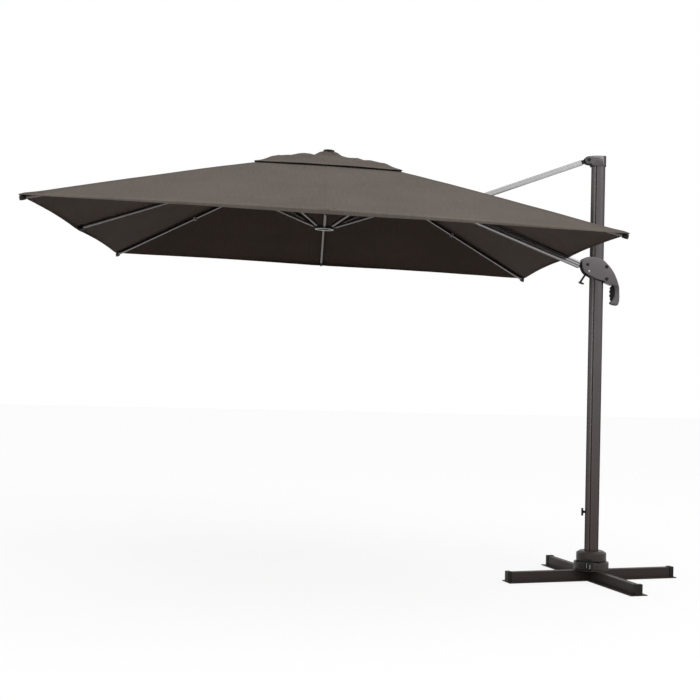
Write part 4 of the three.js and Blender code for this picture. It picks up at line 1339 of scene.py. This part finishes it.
vent_rows = [i / 24 for i in range(23)] + [0.938, 0.942, 0.97, 0.996, 1.0]
vent_shape = {
    "half": lambda row: vent_inner + (vent_half - vent_inner) * row,
    "inset": lambda row: 0.006 * row,
    "skin": vent_skin,
}
for rib, body in gore_bodies.items():
    gore, area = sewn(
        f"vent_gore_{body.replace('rib_', '')}",
        rib,
        vent_rows,
        canopy_columns,
        vent_shape,
        body,
        "vent_canopy",
    )
    reach = vent_half * (math.sqrt(2) if rib % 2 else 1)
    folded_by(gore)

# ---------------------------------------------------------------- floor, light and camera
# A wide pale floor under a soft, even studio sky, with one broad lamp from the upper right and a
# tall narrow one from the left.
def backdrop(owner, light, seen):
    """Shows one node's shader to the lens and in reflections, and another's as light."""
    tree = owner.node_tree
    path = add_node(tree, "LightPath")
    either = add_node(tree, "Math", operation="MAXIMUM")
    any_of = add_node(tree, "Math", operation="MAXIMUM")
    mix = add_node(tree, "MixShader")
    output = [end for end in tree.nodes if end.bl_idname.startswith("ShaderNodeOutput")][0]
    wire(
        tree,
        (path, "Is Camera Ray", either, 0),
        (path, "Is Glossy Ray", either, 1),
        (either, "Value", any_of, 0),
        (path, "Is Transmission Ray", any_of, 1),
        (any_of, "Value", mix, "Fac"),
        (light, 0, mix, 1),
        (seen, 0, mix, 2),
        (mix, "Shader", output, "Surface"),
    )


scene = bpy.context.scene
world = bpy.data.worlds.new("studio")
scene.world = world
world.use_nodes = True
sky_tree = world.node_tree
sky_light = sky_tree.nodes["Background"]
sky_light.inputs["Strength"].default_value = 0.62
sky_place = add_node(sky_tree, "TexCoord")
sky_height = add_node(sky_tree, "SeparateXYZ")
sky_ramp = add_node(sky_tree, "ValToRGB")
sky_ramp.color_ramp.elements[0].color = (0.22, 0.22, 0.22, 1)
sky_ramp.color_ramp.elements[1].position = 0.6
sky_ramp.color_ramp.elements[1].color = (1, 1, 1, 1)
wire(
    sky_tree,
    (sky_place, "Generated", sky_height, "Vector"),
    (sky_height, "Z", sky_ramp, "Fac"),
    (sky_ramp, "Color", sky_light, "Color"),
)
backdrop(world, sky_light, add_node(sky_tree, "Background", {"Color": (1, 1, 1, 1), "Strength": 1.0}))

floor_half = 30.0
floor_mesh = bpy.data.meshes.new("floor")
floor_mesh.from_pydata(
    [
        (-floor_half, -floor_half, 0),
        (floor_half, -floor_half, 0),
        (floor_half, floor_half, 0),
        (-floor_half, floor_half, 0),
    ],
    [],
    [(0, 1, 2, 3)],
)
floor = bpy.data.objects.new("floor", floor_mesh)
floor.location.z = -0.0005
scene.collection.objects.link(floor)
floor_paint = bpy.data.materials.new("floor_paint")
floor_paint.use_nodes = True
floor_tree = floor_paint.node_tree
floor_tree.nodes.remove(floor_tree.nodes["Principled BSDF"])
floor_dim = add_node(floor_tree, "BsdfDiffuse", {"Color": (0.16, 0.16, 0.16, 1)})
floor_pale = add_node(floor_tree, "BsdfDiffuse", {"Color": (0.3, 0.3, 0.3, 1)})
floor_glow = add_node(floor_tree, "Emission", {"Strength": 0.80})
floor_white = add_node(floor_tree, "AddShader")
wire(floor_tree, (floor_pale, "BSDF", floor_white, 0), (floor_glow, "Emission", floor_white, 1))
backdrop(floor_paint, floor_dim, floor_white)
floor_mesh.materials.append(floor_paint)


def lamp(name, place, aim, wide, tall, watts):
    data = bpy.data.lights.new(name, "AREA")
    data.shape = "RECTANGLE"
    data.size, data.size_y, data.energy = wide, tall, watts
    light = bpy.data.objects.new(name, data)
    light.location = place
    light.rotation_euler = (Vector(aim) - Vector(place)).to_track_quat("-Z", "Y").to_euler()
    scene.collection.objects.link(light)


lamp("key", (3.5, -7.0, 6.5), (-1.0, 0, 1.8), 4.0, 3.0, 225)
lamp("strip", (-5.6, -8.8, 1.9), (-0.4, 0, 1.9), 0.5, 5.0, 70)

eye = Vector((-1.7497, -7.5059, 1.2497))
yaw, pitch, roll = 0.0322, 0.01653, 0.02188
ahead = Vector((math.sin(yaw) * math.cos(pitch), math.cos(yaw) * math.cos(pitch), math.sin(pitch)))
level = Vector((math.cos(yaw), -math.sin(yaw), 0))
above = level.cross(ahead)
right = level * math.cos(roll) + above * math.sin(roll)
up = above * math.cos(roll) - level * math.sin(roll)
camera_data = bpy.data.cameras.new("camera")
camera_data.lens = 63.18
camera_data.sensor_width = 36
camera_data.clip_end = 200
camera = bpy.data.objects.new("camera", camera_data)
camera.matrix_world = Matrix([[right[i], up[i], -ahead[i], eye[i]] for i in range(3)] + [[0, 0, 0, 1]])
scene.collection.objects.link(camera)
scene.camera = camera
scene.view_settings.view_transform = "Standard"
